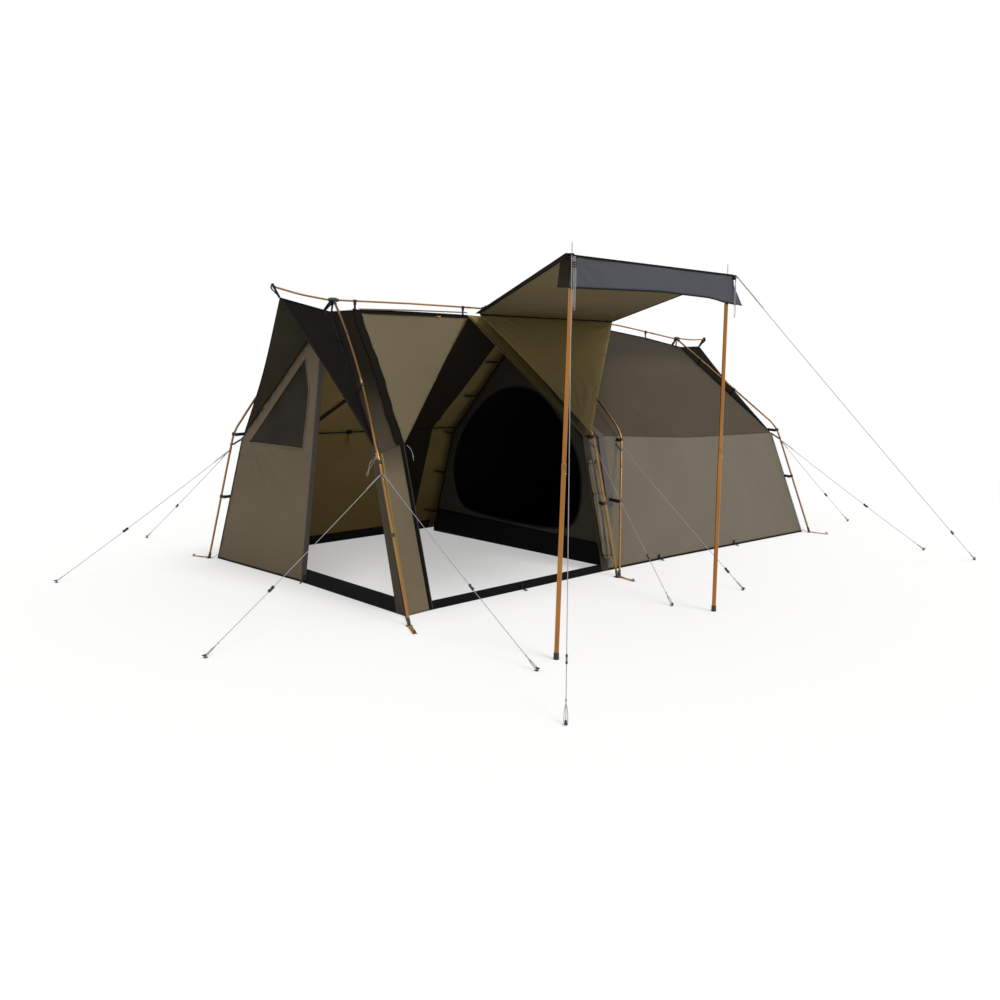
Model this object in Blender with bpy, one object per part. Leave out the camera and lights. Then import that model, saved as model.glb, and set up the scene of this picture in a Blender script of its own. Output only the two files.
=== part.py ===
"""Two-room tent with an outside pole frame, a raised door panel and guylines. Metres, +Z up.

The ridge runs along X, the door side is -Y and the ground is z = 0. The origin is on the ground
below the middle of the canopy's length.
"""
import math

import bmesh
import bpy
from mathutils import Vector
from mathutils.geometry import tessellate_polygon

REST_GAP = 0.0003

# Pole frame
FOOT_X = 2.49
FOOT_Y = 1.393
MID_FOOT_X = -0.45
MID_FOOT_SPREAD = 0.026
BEND_X = 2.431
FRONT_BEND_Y = 1.009
FRONT_BEND_Z = 1.04
BACK_BEND_Y = 0.97
BACK_BEND_Z = 1.11
MID_BEND_X = (-0.35, 0.017)
MID_BEND_Z = (1.12, 1.077)
MID_HUB_X = (-0.60, 0.03)
HUB_X = 2.10
TIP_X = 2.59
TIP_LEFT_Z = 2.167
TIP_RIGHT_Z = 1.919
HUB_LEFT_Z = 2.10
HUB_RIGHT_Z = 1.917
RIDGE_MIDDLE = ((-1.40, 2.107), (-0.60, 2.103), (0.03, 2.089), (1.02, 2.031), (1.576, 1.972))
RIDGE_RADIUS = 0.007
TIP_SAG = 0.008
ARCH_RADIUS = 0.0085
BEND_ROUND = 0.10
LEFT_BOW = 0.045
HUB_RADIUS = 0.022
HUB_LENGTH = 0.085
HUB_STRAP_LEFT_X = (-2.182, -2.116)
HUB_STRAP_RIGHT_X = (2.036, 2.092)
HUB_ENTRY = 0.015
MID_HUB_RADIUS = 0.017
MID_HUB_LENGTH = 0.06
COLLAR_PLAY = 0.0010
SOCKET_GAP = 0.0005

# Clip straps between the poles and the canopy
STRAP_WIDTH = 0.022
STRAP_THICK = 0.003
PEAK_GAP = 0.0008

# Feet and pegs
FOOT_RADIUS = 0.024
FOOT_THICK = 0.004
TAIL_WIDTH = 0.025
TAIL_LENGTH = 0.19
PEG_RADIUS = 0.005
PEG_HEAD = 0.022

# Canopy
FABRIC = 0.006
SEAM_GAP = 0.00018
EDGE_STEP = 0.16
CENTRE_Z = 0.8
CANOPY_UNDER_POLE = 0.062
APEX_LEFT = (-2.143, 0.0, 2.014)
APEX_RIGHT = (2.15, 0.0, 1.83)
SHOULDER_FL = (-2.39, -0.95, 1.05)
SHOULDER_BL = (-2.37, 0.95, 1.05)
SHOULDER_FR = (2.41, -0.97, 0.97)
SHOULDER_BR = (2.41, 0.95, 1.02)
EAVE_RIGHT = (1.0, -0.965, 0.99)
HEM_FL = (-2.37, -1.20, 0.0)
HEM_BL = (-2.44, 1.33, 0.0)
HEM_FR = (2.46, -1.33, 0.0)
HEM_BR = (2.46, 1.33, 0.0)
HEM_MIDDLE_RIGHT = (0.46, -1.215, 0.0)
PEAK_DROP = 0.077
PEAK_INSET_LEFT = 0.054
PEAK_INSET_RIGHT = 0.088
PEAK_LEFT = (PEAK_INSET_LEFT - TIP_X, 0.0, TIP_LEFT_Z - PEAK_DROP)
PEAK_RIGHT = (TIP_X - PEAK_INSET_RIGHT, 0.0, TIP_RIGHT_Z - PEAK_DROP)

# Front door opening
RIDGE_SEAMS = (-1.40, -0.80, 0.03, 1.02, 1.576)
DOOR_LEFT = (-2.184, -0.953, 1.10)
DOOR_LEFT_FOOT = (-2.13, -1.185, 0.0)
DOOR_RIGHT = (-0.405, -0.955, 1.075)
DOOR_RIGHT_FOOT = (-0.40, -1.185, 0.0)
JAMB_WIDTH = 0.075
THRESHOLD_HIGH = 0.06

# Left end: closed half with a mesh window, and an open door
END_ZIP = (0.095, 0.02)
END_ZIP_TOP_Z = 1.90
END_POST = (-0.85, -1.10)
END_POST_TOP_Z = 1.13
END_THRESHOLD_HIGH = 0.11
WINDOW = ((0.23, 1.665), (0.19, 1.32), (0.20, 1.0), (0.86, 1.0))
MESH_THICK = 0.003

# Raised door panel and its poles
AWNING_EDGE_Y = -0.16
AWNING_EDGE_Z = 2.045
AWNING_LEFT_X = -0.80
AWNING_RIGHT_X = 0.87
AWNING_FRONT_Y = -2.50
AWNING_FRONT_Z = 2.205
AWNING_FRONT_X = (-2.235, -0.725)
AWNING_SAG = 0.03
AWNING_THICK = 0.006
GUSSET_TIP = (-0.42, -1.06, 1.10)
GUSSET_THICK = (0.0025, 0.0035)
RIDGE_FLAP_BACK = 0.014
RIDGE_FLAP_GAP = 0.0008
AWNING_POLE_Y = -2.475
AWNING_POLE_TOP_X = (-2.205, -0.745)
AWNING_POLE_FOOT_X = (-2.285, -0.755)
AWNING_POLE_RADIUS = 0.0135
POLE_CAP_RADIUS = 0.017
POLE_CAP_HIGH = 0.04
SPIKE_RADIUS = 0.0035
SPIKE_HIGH = 0.090
GROMMET_RADIUS = 0.007
SPIKE_SEAT = 0.012
BRIM_RADIUS = 0.0062
CORNER_TAB = (0.034, 0.020, 0.003)
VALANCE_HIGH = 0.165
VALANCE_THICK = 0.004
VALANCE_GAP = 0.0006

# Inner tent
INNER_FRONT_X = -0.24
INNER_END_X = 2.18
INNER_HALF = 0.86
INNER_FOOT_HALF = 1.15
INNER_SHOULDER_Z = 0.98
INNER_RIDGE_Z = (1.86, 1.62)
INNER_THICK = 0.005
HOOK_WIDTH = 0.014
HOOK_THICK = 0.004
HOOK_ROOT = 0.03
HOOK_SHARES = (0.25, 0.72)
HOOK_WALL_Z = 0.52
HOOK_GAP = 0.0006
INNER_DOOR = ((-0.06, 1.445), (0.23, 1.40), (0.50, 1.23), (0.72, 0.99), (0.83, 0.74), (0.82, 0.49), (0.69, 0.30),
              (0.30, 0.245), (-0.20, 0.232), (-0.54, 0.25), (-0.73, 0.33), (-0.80, 0.57), (-0.76, 0.86), (-0.56, 1.17),
              (-0.32, 1.38))
FLOOR_THICK = 0.006

# Rolled door, zips and pullers
ROLL_RADIUS = 0.032
ROLL_FOOT_Z = 0.10
ROLL_TOP_DROP = 0.20
ROLL_GAP = 0.0014
SLIDER = (0.012, 0.007, 0.032)
SLIDER_GAP = 0.0006
ZIP_ASIDE = 0.009
FRONT_ZIP_START = 0.13
END_ZIP_START = 0.14

# Guylines: each runs from a pole below its bend, or a corner of the raised panel, to its peg
CORD_RADIUS = 0.002
TENSIONER_RADIUS = 0.009
TENSIONER_LENGTH = 0.045
CORD_STEPS = 24
CORD_SAG = 0.008
PEG_TOP = 0.012
RING_HEIGHTS = {"front_left": 0.925, "back_left": 0.935, "front_right": 0.890, "middle_left": 0.960,
                "middle_right": 0.960}
GUYLINES = {
    "guyline_back_left_a": ("back_left", (-3.745, 1.305), 0.62),
    "guyline_back_left_b": ("back_left", (-2.512, 2.655), 0.60),
    "guyline_front_left_a": ("front_left", (-3.725, -1.142), 0.66),
    "guyline_front_left_b": ("front_left", (-2.510, -2.545), 0.62),
    "guyline_front_middle_a": ("middle_left", (-0.855, -2.205), 0.72),
    "guyline_front_middle_b": ("middle_right", (-0.100, -2.285), 0.88),
    "guyline_front_right_a": ("front_right", (2.417, -2.545), 0.62),
    "guyline_front_right_b": ("front_right", (3.410, -1.335), 0.66),
    "guyline_awning_near": ("corner_left", (-2.945, -3.164), 0.88),
    "guyline_awning_far": ("corner_right", (2.318, -3.015), 0.88),
}


def clear_scene():
    for item in list(bpy.data.objects):
        bpy.data.objects.remove(item, do_unlink=True)


def finish(name, colour, roughness, metallic):
    """A Principled material in the part's photographed colour."""
    material = bpy.data.materials.new(name)
    material.use_nodes = True
    shader = material.node_tree.nodes["Principled BSDF"]
    shader.inputs["Base Color"].default_value = (*colour, 1.0)
    shader.inputs["Roughness"].default_value = roughness
    shader.inputs["Metallic"].default_value = metallic
    return material


def object_from(name, bm, material, origin=(0.0, 0.0, 0.0)):
    """Put a bmesh into the scene as one named object whose origin is at the given point."""
    bmesh.ops.recalc_face_normals(bm, faces=bm.faces)
    bmesh.ops.translate(bm, verts=bm.verts, vec=-Vector(origin))
    mesh = bpy.data.meshes.new(name)
    bm.to_mesh(mesh)
    bm.free()
    item = bpy.data.objects.new(name, mesh)
    item.location = origin
    item.data.materials.append(material)
    bpy.context.collection.objects.link(item)
    return item


def slab(name, outer, inner, material, origin=(0.0, 0.0, 0.0), holes=0):
    """A closed panel between two matching sets of loops; the first loop is its outline, the rest are holes."""
    faces = tessellate_polygon([[Vector(p) for p in loop] for loop in outer])
    bm = bmesh.new()
    top = [bm.verts.new(p) for loop in outer for p in loop]
    low = [bm.verts.new(p) for loop in inner for p in loop]
    for a, b, c in faces:
        bm.faces.new((top[a], top[b], top[c]))
        bm.faces.new((low[c], low[b], low[a]))
    start = 0
    for loop in outer[:holes + 1]:
        count = len(loop)
        for i in range(count):
            a, b = start + i, start + (i + 1) % count
            bm.faces.new((top[a], top[b], low[b], low[a]))
        start += count
    return object_from(name, bm, material, origin)


def shrunk(points, gap=SEAM_GAP):
    """Draw a loop in towards its middle, which leaves the sewing gap to its neighbours."""
    middle = sum((Vector(p) for p in points), Vector()) / len(points)
    out = []
    for p in points:
        step = middle - Vector(p)
        out.append(Vector(p) + step.normalized() * gap * 2.0)
    return out


def inward(point):
    """The matching point on the fabric's inner face: a scaling towards the middle of the tent."""
    p = Vector(point)
    return Vector((
        p.x * (1.0 - FABRIC / FOOT_X),
        p.y * (1.0 - FABRIC / FRONT_BEND_Y),
        CENTRE_Z + (p.z - CENTRE_Z) * (1.0 - FABRIC / (HUB_LEFT_Z - CENTRE_Z)),
    ))


def divided(loop):
    """The loop with points added along its long edges, so that sewn edges match their neighbours."""
    out = []
    for a, b in zip(loop, [*loop[1:], loop[0]]):
        parts = max(1, round((b - a).length / EDGE_STEP))
        out += [a.lerp(b, k / parts) for k in range(parts)]
    return out


def canopy_panel(name, outline, material, holes=()):
    loops = [divided(shrunk(outline))] + [divided([Vector(p) for p in hole]) for hole in holes]
    return slab(name, loops, [[inward(p) for p in loop] for loop in loops], material, holes=len(holes))


def smooth_line(points, steps):
    """Points along a smooth curve through the given ones."""
    pts = [Vector(p) for p in points]
    pts = [pts[0] * 2 - pts[1]] + pts + [pts[-1] * 2 - pts[-2]]
    out = []
    for i in range(1, len(pts) - 2):
        a, b, c, d = pts[i - 1:i + 3]
        for k in range(steps):
            t = k / steps
            out.append(0.5 * (2 * b + (c - a) * t + (2 * a - 5 * b + 4 * c - d) * t * t
                              + (3 * b - a - 3 * c + d) * t ** 3))
    return out + [pts[-2]]


def tube_mesh(points, radii, sides):
    """A closed tube through the points, one radius for each."""
    pts = [Vector(p) for p in points]
    bm = bmesh.new()
    rings = []
    side = None
    for i, p in enumerate(pts):
        along = (pts[min(i + 1, len(pts) - 1)] - pts[max(i - 1, 0)]).normalized()
        if side is None:
            side = along.orthogonal().normalized()
        side = (side - along * side.dot(along)).normalized()
        other = along.cross(side)
        ring = []
        for k in range(sides):
            angle = 2 * math.pi * k / sides
            ring.append(bm.verts.new(p + (side * math.cos(angle) + other * math.sin(angle)) * radii[i]))
        rings.append(ring)
    for low, high in zip(rings, rings[1:]):
        for k in range(sides):
            bm.faces.new((low[k], low[(k + 1) % sides], high[(k + 1) % sides], high[k]))
    bm.faces.new(rings[0][::-1])
    bm.faces.new(rings[-1])
    return bm


def tube(name, points, radius, material, sides=10, origin=(0.0, 0.0, 0.0)):
    radii = radius if isinstance(radius, (list, tuple)) else [radius] * len(points)
    item = object_from(name, tube_mesh(points, radii, sides), material, origin)
    item.data.shade_smooth()
    item.data.set_sharp_from_angle(angle=math.radians(40))
    return item


def block_mesh(start, end, width, thick, up=(0, 0, 1)):
    """A flat bar from start to end."""
    a, b = Vector(start), Vector(end)
    along = (b - a).normalized()
    across = along.cross(Vector(up)).normalized()
    normal = across.cross(along)
    bm = bmesh.new()
    corners = []
    for p in (a, b):
        for s, t in ((-1, -1), (1, -1), (1, 1), (-1, 1)):
            corners.append(bm.verts.new(p + across * width / 2 * s + normal * thick / 2 * t))
    for quad in ((3, 2, 1, 0), (4, 5, 6, 7), (0, 1, 5, 4), (1, 2, 6, 5), (2, 3, 7, 6), (3, 0, 4, 7)):
        bm.faces.new([corners[i] for i in quad])
    bmesh.ops.recalc_face_normals(bm, faces=bm.faces)
    return bm


def fuse(item, meshes):
    """Join closed shapes to an object with Boolean unions, and leave one body."""
    for number, bm in enumerate(meshes):
        bmesh.ops.recalc_face_normals(bm, faces=bm.faces)
        bmesh.ops.translate(bm, verts=bm.verts, vec=-item.location)
        mesh = bpy.data.meshes.new(f"{item.name}_add_{number}")
        bm.to_mesh(mesh)
        bm.free()
        tool = bpy.data.objects.new(mesh.name, mesh)
        tool.location = item.location
        tool.hide_render = True
        tool.display_type = "WIRE"
        bpy.context.collection.objects.link(tool)
        union = item.modifiers.new(f"join_{number}", "BOOLEAN")
        union.operation = "UNION"
        union.solver = "EXACT"
        union.object = tool
    return item


def ridge_height(x):
    """Height of the ridge pole's line above the ground at x."""
    line = ((-HUB_X, HUB_LEFT_Z), *RIDGE_MIDDLE, (HUB_X, HUB_RIGHT_Z))
    for (x0, z0), (x1, z1) in zip(line, line[1:]):
        if x <= x1:
            return z0 + (z1 - z0) * (x - x0) / (x1 - x0)
    return HUB_RIGHT_Z


def canopy_ridge(x):
    return (x, 0.0, ridge_height(x) - CANOPY_UNDER_POLE)


def bent(foot, bend, top, bow=0.0):
    """A pole's line: straight up to a rounded bend, then on to the top, bowed out a little."""
    foot, bend, top = Vector(foot), Vector(bend), Vector(top)
    low = bend + (foot - bend).normalized() * BEND_ROUND
    high = bend + (top - bend).normalized() * BEND_ROUND
    points = [foot, foot.lerp(low, 0.5)]
    for k in range(5):
        t = k / 4
        points.append(low * (1 - t) ** 2 + bend * 2 * t * (1 - t) + high * t * t)
    span = top - high
    out = (Vector((0, bend.y, bend.z)) - Vector((0, 0, 0.6))).normalized()
    for k in range(1, 7):
        t = k / 6
        points.append(high + span * t + out * bow * 4 * t * (1 - t))
    return points


def foot_point(x, y, bend):
    """The middle of a leaning pole's lower end, whose low rim just clears its foot plate."""
    run = Vector((bend[0] - x, bend[1] - y)).length
    lean = run / math.hypot(run, bend[2])
    return (x, y, FOOT_THICK + REST_GAP + ARCH_RADIUS * lean)


def side_bend(sign):
    """(distance from the ridge, height) of the shoulder bends on the front (-1) or back (+1)."""
    return (FRONT_BEND_Y, FRONT_BEND_Z) if sign < 0 else (BACK_BEND_Y, BACK_BEND_Z)


def add_ridge(gold):
    """The ridge pole between the hubs, and a tip at each end whose webbing holds out the canopy's point."""
    reach = HUB_LENGTH / 2 + REST_GAP
    line = smooth_line([(x, 0, z) for x, z in (*RIDGE_MIDDLE, (HUB_X - reach - HUB_ENTRY, HUB_RIGHT_Z))], 3)
    line = [Vector((-HUB_X + reach, 0, HUB_LEFT_Z)), Vector((-HUB_X + reach + HUB_ENTRY, 0, HUB_LEFT_Z)), *line,
            Vector((HUB_X - reach, 0, HUB_RIGHT_Z))]
    tube("ridge_pole", line, RIDGE_RADIUS, gold)
    for name, sign, hub_z, tip_z in (("ridge_tip_left", -1, HUB_LEFT_Z, TIP_LEFT_Z),
                                     ("ridge_tip_right", 1, HUB_RIGHT_Z, TIP_RIGHT_Z)):
        start = Vector((sign * (HUB_X + reach), 0, hub_z))
        end = Vector((sign * TIP_X, 0, tip_z))
        entry = start + Vector((sign * HUB_ENTRY, 0, 0))
        middle = entry.lerp(end, 0.5) + Vector((0, 0, -TIP_SAG))
        tip = tube(name, [start, *smooth_line([entry, middle, end], 4)], RIDGE_RADIUS, gold)
        peak = PEAK_LEFT if sign < 0 else PEAK_RIGHT
        top = end + Vector((sign * 0.004, 0, 0.022))
        foot = Vector((peak[0] + sign * 0.004, 0, peak[2] + PEAK_GAP))
        fuse(tip, [block_mesh(top, foot, STRAP_WIDTH, STRAP_THICK, up=(0, 1, 0))])


def canopy_top(x):
    """Height of the canopy's ridge line, peaks included, at x."""
    line = [PEAK_LEFT, APEX_LEFT, *(canopy_ridge(x) for x in RIDGE_SEAMS), APEX_RIGHT, PEAK_RIGHT]
    for a, b in zip(line, line[1:]):
        if x <= b[0]:
            return a[2] + (b[2] - a[2]) * (x - a[0]) / (b[0] - a[0])
    return PEAK_RIGHT[2]


def add_hubs(black):
    """End hubs hold the ridge pole, a tip and two arch poles; short straps hang the canopy from them."""
    for name, sign, z, feet in (("hub_left", -1, HUB_LEFT_Z, HUB_STRAP_LEFT_X),
                                ("hub_right", 1, HUB_RIGHT_Z, HUB_STRAP_RIGHT_X)):
        x = sign * HUB_X
        item = tube(name, [(x - HUB_LENGTH / 2, 0, z), (x - 0.02, 0, z), (x + 0.02, 0, z), (x + HUB_LENGTH / 2, 0, z)],
                    [HUB_RADIUS * 0.6, HUB_RADIUS, HUB_RADIUS, HUB_RADIUS * 0.6], black, sides=12)
        top = Vector((x, 0, z))
        hang = []
        for foot_x in feet:
            foot = Vector((foot_x, 0, canopy_top(foot_x) + STRAP_THICK * 0.43))
            hang.append(block_mesh(top, foot, STRAP_WIDTH * 0.7, STRAP_THICK, up=(1, 0, 0)))
        fuse(item, hang)
    for name, x in zip(("hub_middle_left", "hub_middle_right"), MID_HUB_X):
        z = ridge_height(x)
        add_middle_hub(name, x, z, black)


def add_middle_hub(name, x, z, black):
    """A collar round the ridge pole, with a socket each side for the halves of a middle arch."""
    slope = math.atan2(ridge_height(x + 0.05) - ridge_height(x - 0.05), 0.1)
    along = Vector((math.cos(slope), 0, math.sin(slope)))
    half = MID_HUB_LENGTH / 2
    middle = Vector((x, 0, z))
    bm = bmesh.new()
    sides = 12
    across = Vector((0, 1, 0))
    up = along.cross(across)
    loops = []
    for end, radius in ((-half, MID_HUB_RADIUS), (half, MID_HUB_RADIUS),
                        (half, RIDGE_RADIUS + COLLAR_PLAY), (-half, RIDGE_RADIUS + COLLAR_PLAY)):
        loops.append([bm.verts.new(middle + along * end
                                   + (across * math.cos(2 * math.pi * k / sides)
                                      + up * math.sin(2 * math.pi * k / sides)) * radius)
                      for k in range(sides)])
    for i in range(4):
        a, b = loops[i], loops[(i + 1) % 4]
        for k in range(sides):
            bm.faces.new((a[k], a[(k + 1) % sides], b[(k + 1) % sides], b[k]))
    object_from(name, bm, black)


def socket_point(hub, bend, radius, bow):
    """Where the end of a pole meets the round side of a hub; a pole that slants or bows stands off a little more."""
    hub, bend = Vector(hub), Vector(bend)
    out = Vector((0, bend.y - hub.y, bend.z - hub.z))
    tilt = math.hypot(abs(bend.x - hub.x), 4 * bow) / out.length
    return hub + out.normalized() * (radius + SOCKET_GAP + ARCH_RADIUS * tilt)


def add_arches(gold):
    for side, sx, hub_z, bow in (("left", -1, HUB_LEFT_Z, LEFT_BOW), ("right", 1, HUB_RIGHT_Z, 0.0)):
        for face, sy in (("front", -1), ("back", 1)):
            bend_y, bend_z = side_bend(sy)
            bend = (sx * BEND_X, sy * bend_y, bend_z)
            top = socket_point((sx * HUB_X, 0, hub_z), bend, HUB_RADIUS, bow)
            line = bent(foot_point(sx * FOOT_X, sy * FOOT_Y, bend), bend, top, bow)
            tube(f"arch_{face}_{side}", line, ARCH_RADIUS, gold)
    for side, bend_x, bend_z, hub_x, turn in zip(("left", "right"), MID_BEND_X, MID_BEND_Z, MID_HUB_X, (-1, 1)):
        for face, sy in (("front", -1), ("back", 1)):
            bend_y = side_bend(sy)[0]
            bend = (bend_x, sy * bend_y, bend_z)
            top = socket_point((hub_x, 0, ridge_height(hub_x)), bend, MID_HUB_RADIUS, 0.0)
            foot = foot_point(MID_FOOT_X + turn * MID_FOOT_SPREAD / 2, sy * FOOT_Y, bend)
            tube(f"middle_arch_{face}_{side}", bent(foot, bend, top), ARCH_RADIUS, gold)


def outline_disc_and_tail(foot, direction, spread):
    """Plan outline of a foot plate with a webbing tail that runs out to its peg."""
    d = Vector((direction[0], direction[1])).normalized()
    n = Vector((-d.y, d.x))
    centre = Vector((foot[0], foot[1]))
    radius = FOOT_RADIUS + spread
    points = []
    start = math.asin(TAIL_WIDTH / 2 / radius)
    for k in range(13):
        angle = start + (2 * math.pi - 2 * start) * k / 12
        points.append(centre + (d * math.cos(angle) + n * math.sin(angle)) * radius)
    points.append(centre + d * TAIL_LENGTH - n * TAIL_WIDTH / 2)
    points.append(centre + d * TAIL_LENGTH + n * TAIL_WIDTH / 2)
    return points


def add_feet(webbing):
    places = {
        "foot_front_left": ((-FOOT_X, -FOOT_Y), (-0.06, -0.12), 0),
        "foot_back_left": ((-FOOT_X, FOOT_Y), (-0.07, 0.19), 0),
        "foot_front_right": ((FOOT_X, -FOOT_Y), (0.03, -0.20), 0),
        "foot_back_right": ((FOOT_X, FOOT_Y), (0.03, 0.20), 0),
        "foot_front_middle": ((MID_FOOT_X, -FOOT_Y), (-0.03, -0.185), MID_FOOT_SPREAD / 2),
        "foot_back_middle": ((MID_FOOT_X, FOOT_Y), (-0.03, 0.185), MID_FOOT_SPREAD / 2),
    }
    for name, (foot, direction, spread) in places.items():
        plan = outline_disc_and_tail(foot, direction, spread)
        outer = [[(p.x, p.y, FOOT_THICK) for p in plan]]
        inner = [[(p.x, p.y, 0.0) for p in plan]]
        item = slab(name, outer, inner, webbing)
        d = Vector((*direction, 0)).normalized()
        peg = Vector((*foot, 0)) + d * (TAIL_LENGTH - 0.012)
        fuse(item, [tube_mesh([peg + Vector((0, 0, 0.001)), peg + Vector((0, 0, PEG_HEAD))],
                              [PEG_RADIUS, PEG_RADIUS], 8)])


def ladder(name, upper, lower, material):
    """A roof panel between two lines: rungs from each point of the upper line to the matching one of the lower."""
    upper = [Vector(p) for p in upper]
    lower = [Vector(p) for p in lower]
    fine, shares, total = [], [], sum((b - a).length for a, b in zip(upper, upper[1:]))
    run = 0.0
    for a, b in zip(upper, upper[1:]):
        parts = max(1, round((b - a).length / EDGE_STEP))
        for k in range(parts):
            fine.append(a.lerp(b, k / parts))
            shares.append((run + (b - a).length * k / parts) / total)
        run += (b - a).length
    fine.append(upper[-1])
    shares.append(1.0)
    long = sum((b - a).length for a, b in zip(lower, lower[1:]))
    rows = max(1, round((upper[0] - lower[0]).length / EDGE_STEP))
    feet = []
    for share in shares:
        left = share * long
        for a, b in zip(lower, lower[1:]):
            if left <= (b - a).length + REST_GAP:
                feet.append(a.lerp(b, min(1.0, left / (b - a).length)))
                break
            left -= (b - a).length
    grid = [[p.lerp(q, j / rows) for p, q in zip(fine, feet)] for j in range(rows + 1)]
    middle = sum((p for row in grid for p in row), Vector()) / (len(fine) * (rows + 1))
    grid = [[p + (middle - p).normalized() * SEAM_GAP * 2.0 for p in row] for row in grid]
    bm = bmesh.new()
    top = [[bm.verts.new(p) for p in row] for row in grid]
    low = [[bm.verts.new(inward(p)) for p in row] for row in grid]
    wide = len(fine)
    for j in range(rows):
        for i in range(wide - 1):
            for layer, order in ((top, 1), (low, -1)):
                a, b, c, d = layer[j][i], layer[j][i + 1], layer[j + 1][i + 1], layer[j + 1][i]
                bm.faces.new((a, b, c)[::order])
                bm.faces.new((a, c, d)[::order])
    rim = [(0, i) for i in range(wide)] + [(j, wide - 1) for j in range(1, rows + 1)]
    rim += [(rows, i) for i in range(wide - 2, -1, -1)] + [(j, 0) for j in range(rows - 1, 0, -1)]
    for (j, i), (n, m) in zip(rim, rim[1:] + rim[:1]):
        bm.faces.new((top[j][i], low[j][i], low[n][m], top[n][m]))
    object_from(name, bm, material)


def add_roof(front, back):
    """Roof panels hang below the ridge pole and end at the shoulder seams."""
    seams = [Vector(canopy_ridge(x)) for x in RIDGE_SEAMS]
    ladder("roof_front_left", [APEX_LEFT, *seams[:2]], [SHOULDER_FL, DOOR_LEFT], front)
    ladder("roof_front_right", [*seams[1:], APEX_RIGHT], [DOOR_RIGHT, EAVE_RIGHT, SHOULDER_FR], front)
    ladder("roof_back", [APEX_LEFT, *seams, APEX_RIGHT], [SHOULDER_BL, SHOULDER_BR], back)


def add_walls(front, back, strip):
    right = Vector(DOOR_RIGHT)
    foot = Vector(DOOR_RIGHT_FOOT)
    eave = Vector(EAVE_RIGHT)
    jamb_top = right.lerp(eave, JAMB_WIDTH / (eave.x - right.x))
    jamb_foot = foot + Vector((JAMB_WIDTH, -JAMB_WIDTH * 0.04, 0.0))
    canopy_panel("wall_front_right", [jamb_top, eave, SHOULDER_FR, HEM_FR, HEM_MIDDLE_RIGHT, jamb_foot], front)
    canopy_panel("door_jamb_right", [right, jamb_top, jamb_foot, foot], strip)
    canopy_panel("wall_back", [SHOULDER_BL, SHOULDER_BR, HEM_BR, HEM_BL], back)
    canopy_panel("pillar_front_left", [SHOULDER_FL, DOOR_LEFT, DOOR_LEFT_FOOT, HEM_FL], strip)


def end_face(y, z, left=True):
    """A point of the left or right end wall at (y, z), on the plane below its arch."""
    apex = Vector(APEX_LEFT if left else APEX_RIGHT)
    shoulder = Vector(SHOULDER_FL if left else SHOULDER_FR)
    hem = Vector(HEM_FL if left else HEM_FR)
    if z > shoulder.z:
        t = (z - shoulder.z) / (apex.z - shoulder.z)
        return Vector((shoulder.x + (apex.x - shoulder.x) * t, y, z))
    t = z / shoulder.z
    return Vector((hem.x + (shoulder.x - hem.x) * t, y, z))


def end_edge(a, b, z):
    """The point at height z on the straight line from a to b."""
    a, b = Vector(a), Vector(b)
    return a.lerp(b, (z - a.z) / (b.z - a.z))


def left_wall_point(y, z):
    """A point of the closed half of the left end, between its zip line and the back arch seam."""
    near = end_edge(end_face(END_ZIP[0], 0.0), end_face(END_ZIP[1], END_ZIP_TOP_Z), z)
    far = end_edge(HEM_BL, SHOULDER_BL, z) if z < SHOULDER_BL[2] else end_edge(SHOULDER_BL, APEX_LEFT, z)
    return near.lerp(far, (y - near.y) / (far.y - near.y))


def add_end_walls(end, strip, mesh_fabric):
    """The left end is closed behind its zip line, with a window, and open in front; the right end is closed."""
    top_z = END_ZIP_TOP_Z
    top_back = end_edge(SHOULDER_BL, APEX_LEFT, top_z)
    zip_foot = end_face(END_ZIP[0], 0.0)
    zip_top = end_face(END_ZIP[1], top_z)
    front_top = end_edge(SHOULDER_FL, APEX_LEFT, top_z)
    outline = [APEX_LEFT, top_back, SHOULDER_BL, HEM_BL, zip_foot, zip_top, front_top]
    hole = [left_wall_point(y, z) for y, z in WINDOW]
    canopy_panel("end_wall_left", outline, end, holes=[hole])
    inner_hole = [inward(p) for p in hole]
    near = shrunk(hole, 0.0004)
    far = shrunk([p.lerp(q, MESH_THICK / FABRIC) for p, q in zip(hole, inner_hole)], 0.0006)
    slab("window_mesh_left", [near], [far], mesh_fabric)
    canopy_panel("end_wall_right", [APEX_RIGHT, SHOULDER_FR, HEM_FR, HEM_BR, SHOULDER_BR], end)
    post_top = end_face(END_POST[0], END_POST_TOP_Z)
    post_foot = end_face(END_POST[1], 0.0)
    canopy_panel("pillar_end_left", [post_top, end_edge(SHOULDER_FL, APEX_LEFT, END_POST_TOP_Z + 0.001), SHOULDER_FL,
                                     HEM_FL, post_foot], strip)


def add_visors(dark):
    """Each end has a peaked visor: two panels from the arch seams out to the point held by the ridge tip."""
    for name, sign, peak, apex, shoulders in (
            ("left", -1, PEAK_LEFT, APEX_LEFT, (SHOULDER_FL, SHOULDER_BL)),
            ("right", 1, PEAK_RIGHT, APEX_RIGHT, (SHOULDER_FR, SHOULDER_BR))):
        for face, shoulder, sy in (("front", shoulders[0], -1), ("back", shoulders[1], 1)):
            gap = Vector((sign * 0.0006, 0, 0))
            split = Vector((0, sy * 0.0004, 0))
            stop = Vector(shoulder).lerp(Vector(apex), 0.02)
            belly = Vector(peak).lerp(stop, 0.5) + Vector((sign * -0.02, 0, -0.01))
            loop = [Vector(peak) + split, Vector(apex) + gap + split, stop + gap, belly]
            drop = Vector((sign * 0.0016, 0, -FABRIC))
            slab(f"visor_{face}_{name}", [loop], [[p + drop for p in loop]], dark)


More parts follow.
